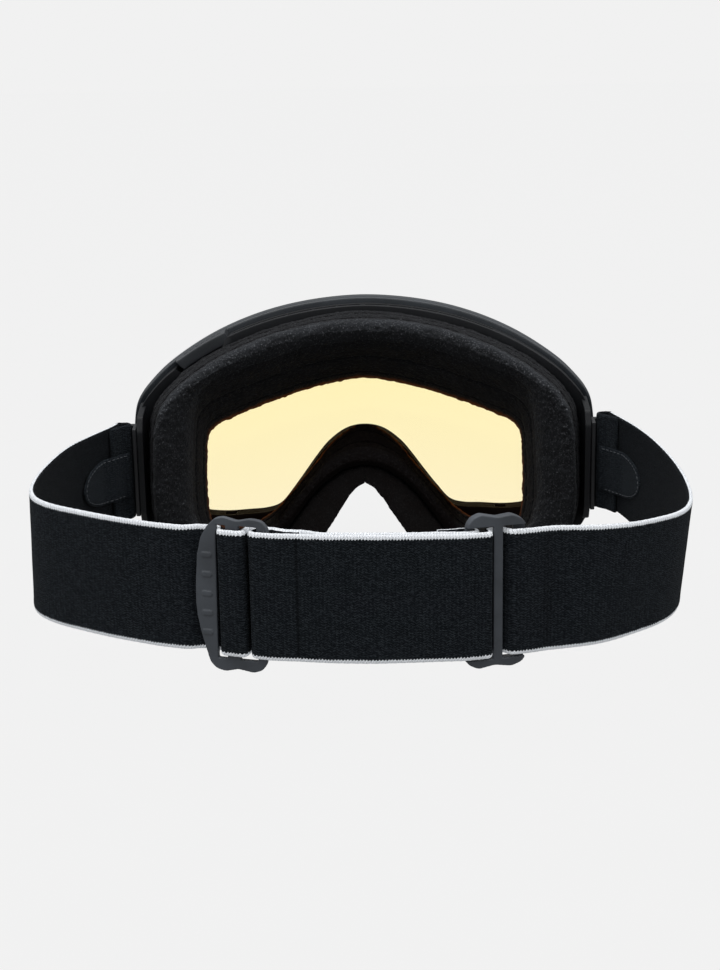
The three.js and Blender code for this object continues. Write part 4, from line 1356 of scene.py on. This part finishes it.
def lens(name, depths, material):
    """closed sheet of rings round a centre point on each face"""
    edge = rim_curve(LENS_EDGE)
    middle = np.array([0.0, LENS_MIDDLE_Z])
    verts = []
    for depth in depths:
        for j in range(1, LENS_RINGS + 1):
            q = middle + (edge - middle) * (j / LENS_RINGS) ** 0.8
            verts.append(np.stack([q[:, 0], bent(q[:, 0], depth), q[:, 1]], 1))
    verts = np.concatenate([*verts, [[0, depth, LENS_MIDDLE_Z] for depth in depths]])
    face_points = LENS_RINGS * OUTLINE_COUNT
    grid = grid_faces(LENS_RINGS, OUTLINE_COUNT)
    i = np.arange(OUTLINE_COUNT)
    start = face_points - OUTLINE_COUNT + i
    end = face_points - OUTLINE_COUNT + (i + 1) % OUTLINE_COUNT
    side_wall = np.stack([start, face_points + start, face_points + end, end], 1)
    faces = np.concatenate([grid, grid[:, ::-1] + face_points, side_wall])
    ob = make(name, verts, faces, material)
    bm = bmesh.new()
    bm.from_mesh(ob.data)
    bm.verts.ensure_lookup_table()
    for base, centre in ((0, 2 * face_points), (face_points, 2 * face_points + 1)):
        for a in range(OUTLINE_COUNT):
            bm.faces.new((bm.verts[base + a], bm.verts[base + (a + 1) % OUTLINE_COUNT],
                          bm.verts[centre]))
    bmesh.ops.recalc_face_normals(bm, faces=bm.faces)
    bm.to_mesh(ob.data)
    bm.free()
    shade(ob, sharp=45)
    return ob


outer_lens = lens("outer_lens_sheet", (209.93, 211.47), LENS_YELLOW)
inner_lens = lens("inner_lens_sheet", (207.23, 208.07), LENS_CLEAR)
gasket = ring("lens_gasket_tape",
              rounded_section((LENS_EDGE, 0.198), (208.42, 209.58), (0.01, 0.3), cuts=(3, 1)),
              rim_curve, GASKET)
lift_to_floor(outer_lens, inner_lens, gasket)
register(outer_lens, "lens_assembly", "outer_lens", "outer_lens")
register(inner_lens, "lens_assembly", "inner_lens", "inner_lens")
register(gasket, "lens_assembly", "gasket", "lens_gasket")

# ------------------------------------------------------------------ face foam in its layers
# how far the outlines have moved from the face's to the frame's, by depth
LAYER_BLEND = ([FACE_Y, 173, 181, 189.5, FRAME_Y], [0, 0.05, 0.42, 0.80, 1.0])
# A foam profile is a list of ((fraction from the outer outline to the inner one, millimetres
# further inward), depth).


def lerp(start, end, f):
    return start + (end - start) * f


def foam_curve(place, depth):
    fraction, inward = place
    blend = float(np.interp(depth, *LAYER_BLEND))
    outer = lerp(FOAM_OUTER_FACE, FOAM_OUTER_FRAME, blend)
    gap = lerp(FOAM_INNER_FACE, FOAM_INNER_FRAME, blend) - outer
    width = np.linalg.norm(gap, axis=1)[:, None]
    return outer + gap * fraction + gap / width * np.clip(inward, -width * 0.45, width * 0.45)


def quarter(inset, reach, depth, depth_reach, angles):
    """rounding at the outer outline, from its side toward the face"""
    return [((0, inset + reach * (1 - math.cos(math.radians(w)))),
             depth + depth_reach * (1 - math.sin(math.radians(w)))) for w in angles]


def flat_face(inset, depth, fractions):
    return [((f, lerp(inset, -inset, f)), depth) for f in fractions]


def mirrored(profile):
    """the same points at the inner outline"""
    return [((1, -inset), depth) for (_, inset), depth in profile]


def pad_profile(face, rear, rounding, edge, bulge, face_steps=10):
    """crowned section of a foam layer from depth face to depth rear, its sides bulging"""
    side = np.linspace(rear - 0.4, face + rounding, 6)
    middle, half = (side[0] + side[-1]) / 2, (side[0] - side[-1]) / 2
    outer = [((0, edge - bulge * (1 - ((y - middle) / half) ** 2)), y) for y in side]
    outer += quarter(edge, rounding, face, rounding, (15, 30, 45, 60, 75))
    return [*outer, *flat_face(edge + rounding, face, np.linspace(0, 1, face_steps + 1)),
            *mirrored(outer)[::-1], *flat_face(edge + 0.3, rear, np.linspace(1, 0, 7))]


def fleece_profile():
    """skin over the face side of the soft pad: outside, then back along its underside"""
    outer = [((0, 0.05 + 0.10 * k), y) for k, y in enumerate((176.6, 175.6, 174.6, 173.8))]
    outer += quarter(0.45, 3.4, 170.75, 2.6, (10, 25, 40, 55, 70, 82))
    under = [((0, 1.3), 176.7), ((0, 1.6), 174.6), *quarter(1.7, 2.6, 172.0, 1.8, (15, 45, 75))]
    return [*outer, *flat_face(3.9, 170.65, np.linspace(0, 1, 11)), *mirrored(outer)[::-1],
            *mirrored(under), *flat_face(4.6, 171.9, np.linspace(1, 0, 7)), *under[::-1]]


SWELL_PRESSURE, SWELL_LIMIT, SWELL_FRAMES = 120.0, 0.8, 14  # the limit is in millimetres
SWELL_VOXEL = 0.003  # metres
GLUED_DEPTH = 178.5  # forward of this the pad stays where it is
CLOTH_SETTINGS = dict(quality=5, mass=0.15, tension_stiffness=25, compression_stiffness=25,
                      shear_stiffness=15, bending_stiffness=2.0, use_pressure=True,
                      uniform_pressure_force=SWELL_PRESSURE)


def swell(ob):
    """lets the foam pad fill out under light inner pressure, keeping only a small movement"""
    sim = add_object("pad_sim", ob.data.copy())
    add_modifier(sim, "REMESH", mode="VOXEL", voxel_size=SWELL_VOXEL)
    apply_all(sim)
    rest = get_points(sim.data)
    cloth = add_modifier(sim, "CLOTH")
    settings = cloth.settings
    for key, value in CLOTH_SETTINGS.items():
        setattr(settings, key, value)
    settings.effector_weights.gravity = 0
    cloth.collision_settings.use_collision = False
    depth = unbent(rest[:, 0] * 1000 - SHIFT_X, rest[:, 1] * 1000 - SHIFT_Y)
    pins = sim.vertex_groups.new(name="pin")
    for i in np.nonzero(depth > GLUED_DEPTH)[0]:
        pins.add([int(i)], 1.0, "REPLACE")
    settings.vertex_group_mass = "pin"
    SCENE.frame_start, SCENE.frame_end = 1, SWELL_FRAMES
    for f in range(1, SWELL_FRAMES + 1):
        SCENE.frame_set(f)
    graph = bpy.context.evaluated_depsgraph_get()
    move = get_points(sim.evaluated_get(graph).data) - rest
    length = np.linalg.norm(move, axis=1)
    move *= np.minimum(1, (SWELL_LIMIT / 1000) / np.maximum(length, 1e-9))[:, None]
    SCENE.frame_set(1)
    # carry the movement over to the finished piece from its four nearest points
    tree = KDTree(len(rest))
    for i, p in enumerate(rest):
        tree.insert(p, i)
    tree.balance()
    points = get_points(ob.data)
    for i, p in enumerate(points.copy()):
        total, moved = 0.0, np.zeros(3)
        for _, j, distance in tree.find_n(p, 4):
            weight = 1.0 / (distance + 2e-4)
            moved += move[j] * weight
            total += weight
        points[i] = p + moved / total
    set_points(ob.data, points)
    bpy.data.objects.remove(sim)


def mark_glow(mesh):
    """0..1 toward the lens end of the foam's inner wall, where light comes through"""
    start, end = 191.5, 196.2
    eye_x, eye_z = 32.0, -3.0
    x, y, z = working(get_points(mesh)).T
    glow = np.clip((unbent(x, y) - start) / (end - start), 0, 1)
    # only the wall whose normal points at the opening's middle on its own side
    normals = read_vectors(mesh.vertex_normals, "vector")
    to_eye = normals[:, 0] * (np.where(x > 0, eye_x, -eye_x) - x) + normals[:, 2] * (eye_z - z)
    set_attribute(mesh, "glow", glow * np.clip(to_eye / 12.0, 0, 1))


def mark_nose_shade(mesh):
    """1 round the nose, where shade is painted on the foam and the fleece"""
    x, _, z = working(get_points(mesh)).T
    set_attribute(mesh, "nose_shade", np.clip((46 - np.abs(x)) / 12, 0, 1) * np.clip((16 - z) / 5, 0, 1))


# (name, CAD piece, slot, material, fuzz in mm, profile), from the soft pad forward
FOAM_LAYERS = [
    ("soft_foam_pad", "soft_foam", "foam", FOAM, 0.28,
     pad_profile(171.6, 181.15, rounding=2.6, edge=0.55, bulge=0.35)),
    ("fleece_cover", "face_fleece", "fleece", FLEECE, 0.30, fleece_profile()),
    ("dense_foam_pad", "dense_foam", "foam", FOAM, 0.3,
     pad_profile(181.35, 189.45, rounding=0.7, edge=0.25, bulge=0.3, face_steps=6)),
    ("base_foam_pad", "base_foam", "foam", FOAM, 0.3,
     pad_profile(189.65, 195.75, rounding=0.5, edge=0.1, bulge=0.25, face_steps=6))]


def build_foam():
    pads = [ring(name, profile, foam_curve, material)
            for name, _, _, material, _, profile in FOAM_LAYERS]
    swell(pads[0])
    for ob, (_, node, slot, _, amount, _) in zip(pads, FOAM_LAYERS):
        add_modifier(ob, "SUBSURF", levels=1, render_levels=1)
        apply_all(ob)
        fuzz(ob, amount, scale=1.3, seed=3.0)
        fuzz(ob, amount * 0.8, scale=4.5, seed=11.0)
        mark_glow(ob.data)
        mark_nose_shade(ob.data)
        ob.data.shade_smooth()
        lift_to_floor(ob)
        register(ob, "goggle", slot, node)


build_foam()

# ------------------------------------------------------------------ nose pads
# (x, z) of the right one; the left mirrors it
NOSE_PAD = [
    (-0.3, -4.3), (7.3, -6.0), (14.5, -10.6), (21, -16.8), (26.4, -24.0), (31.4, -30.5),
    (36.3, -34.8), (36, -38.8), (30, -38.9), (22.8, -37.9), (17.9, -34.2), (11.9, -25.4),
    (6.9, -17.4), (3.2, -12.8), (-0.3, -11.2)]
NOSE_DEPTHS = (173.7, 192.4)


def nose_pad(side, tag):
    corners = np.array([(side * x, z) for x, z in NOSE_PAD])
    polygon = evenly(np.vstack([corners, corners[:1]]), count=161)[1][:-1]
    body = prism(polygon, *NOSE_DEPTHS, lambda x, z, y: (x, y, z))
    ob = body_object(f"{tag}_nose_pad", [body], (NOSE_FOAM,))
    melt(ob, voxel=0.6, smooth=14, bend=True)
    fuzz(ob, 0.25, scale=1.3, seed=5.0)
    fuzz(ob, 0.25, scale=4.0, seed=9.0)
    ob.data.attributes.new("glow", "FLOAT", "POINT")
    lift_to_floor(ob)
    register(ob, "goggle", "foam", f"{tag}_nose_foam")


for _side, _tag in SIDES:
    nose_pad(_side, _tag)

# ------------------------------------------------------------------ vent foams in the frame's slots
VENT_SECTION = rounded_section((0.135, 0.395), (198.65, 201.35), (0.03, 0.6), cuts=(6, 3))
for _vent, _span in (("brow_vent", (index_at(-51), index_at(51))),
                     ("left_cheek_vent", low_span(-60.9, -74.1)),
                     ("right_cheek_vent", low_span(74.1, 60.9))):
    vent = ring(f"{_vent}_mesh", VENT_SECTION, rim_curve, VENT_FOAM, span=_span)
    fuzz(vent, 0.3, scale=1.0, seed=2.0)
    lift_to_floor(vent)
    register(vent, "goggle", "vent_foam", f"{_vent}_foam")

# the magnets keep their CAD shape and get plated metal
for _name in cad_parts:
    if "magnet" in _name:
        magnet = bpy.data.objects[_name]
        for _slot in magnet.material_slots:
            _slot.material = MAGNET
        if not magnet.material_slots:
            magnet.data.materials.append(MAGNET)

# ------------------------------------------------------------------ floor, world, lights, camera
BACKDROP = (0.879, 0.879, 0.879)


def build_floor():
    mesh = bpy.data.meshes.new("studio_floor")
    mesh.from_pydata([(-6, -6, 0), (6, -6, 0), (6, 6, 0), (-6, 6, 0)], [], [(0, 1, 2, 3)])
    material = bpy.data.materials.new("studio_floor")
    floor = add_object("studio_floor", mesh, (material,))
    floor.location.z = CAD_LO.z - 0.0005
    nodes = Nodes(material, clear=True)
    grain = nodes.noise(scale=40, detail=3, roughness=0.5)
    colour = nodes.ramp(grain, (0.3, (0.009, 0.009, 0.009)), (0.7, (0.011, 0.011, 0.011)))
    # the camera sees the floor brighter than it lights the goggles
    strength = nodes.value("LightPath", output="Is Camera Ray") * 0.629 + 0.36
    glow = nodes.value("Emission", {"Color": BACKDROP, "Strength": strength})
    diffuse = nodes.value("BsdfDiffuse", {"Color": colour})
    nodes.new("OutputMaterial", {"Surface": nodes.value("AddShader", {0: glow, 1: diffuse})})


def build_world():
    """even backdrop for the camera; light that grows from below to above"""
    world = bpy.data.worlds.new("studio")
    SCENE.world = world
    nodes = Nodes(world, clear=True)
    upward = nodes.height_of(nodes.coordinate("Generated")) * 0.5 + 0.5
    sky = nodes.ramp(upward, (0.0, (0.30, 0.30, 0.31)), (0.5, (0.42, 0.43, 0.44)),
                     (0.72, (0.60, 0.61, 0.63)), (1.0, (0.95, 0.97, 1.0)))
    surface = nodes.value("MixShader", {
        0: nodes.value("LightPath", output="Is Camera Ray"),
        1: nodes.value("Background", {"Color": sky, "Strength": 0.75}),
        2: nodes.value("Background", {"Color": BACKDROP})})
    nodes.new("OutputWorld", {"Surface": surface})


def softbox(name, location, aim, size, power):
    """rectangular light; metres and watts"""
    light = bpy.data.lights.new(name, "AREA")
    light.shape = "RECTANGLE"
    light.size, light.size_y = size
    light.energy = power
    ob = add_object(name, light)
    ob.location = location
    direction = Vector(aim) - Vector(location)
    ob.rotation_euler = direction.to_track_quat("-Z", "Y").to_euler()


def build_camera():
    """looks forward and down at the goggles from behind the strap"""
    place = (0.00399, -0.56795, 0.1977)
    turn, tilt, roll = (math.radians(angle) for angle in (0.537, 75, -1.0))
    camera = bpy.data.cameras.new("camera")
    ob = add_object("camera", camera)
    camera.sensor_width = 36
    camera.lens = 62.55
    camera.clip_start = 0.01
    ob.matrix_world = (Matrix.Translation(place) @ Matrix.Rotation(turn, 4, "Z")
                       @ Matrix.Rotation(tilt, 4, "X") @ Matrix.Rotation(roll, 4, "Z"))
    SCENE.camera = ob


build_floor()
build_world()
softbox("top_softbox", location=(0.0, -0.10, 1.1), aim=(0, 0.0, 0.05), size=(1.3, 0.9), power=9.0)
softbox("rear_left_softbox", location=(-0.9, -0.7, 0.75), aim=(0, -0.05, 0.05), size=(0.8, 0.8),
        power=3.0)
softbox("rear_right_softbox", location=(0.9, -0.7, 0.75), aim=(0, -0.05, 0.05), size=(0.8, 0.8),
        power=2.3)
build_camera()
SCENE.view_settings.view_transform = "Standard"
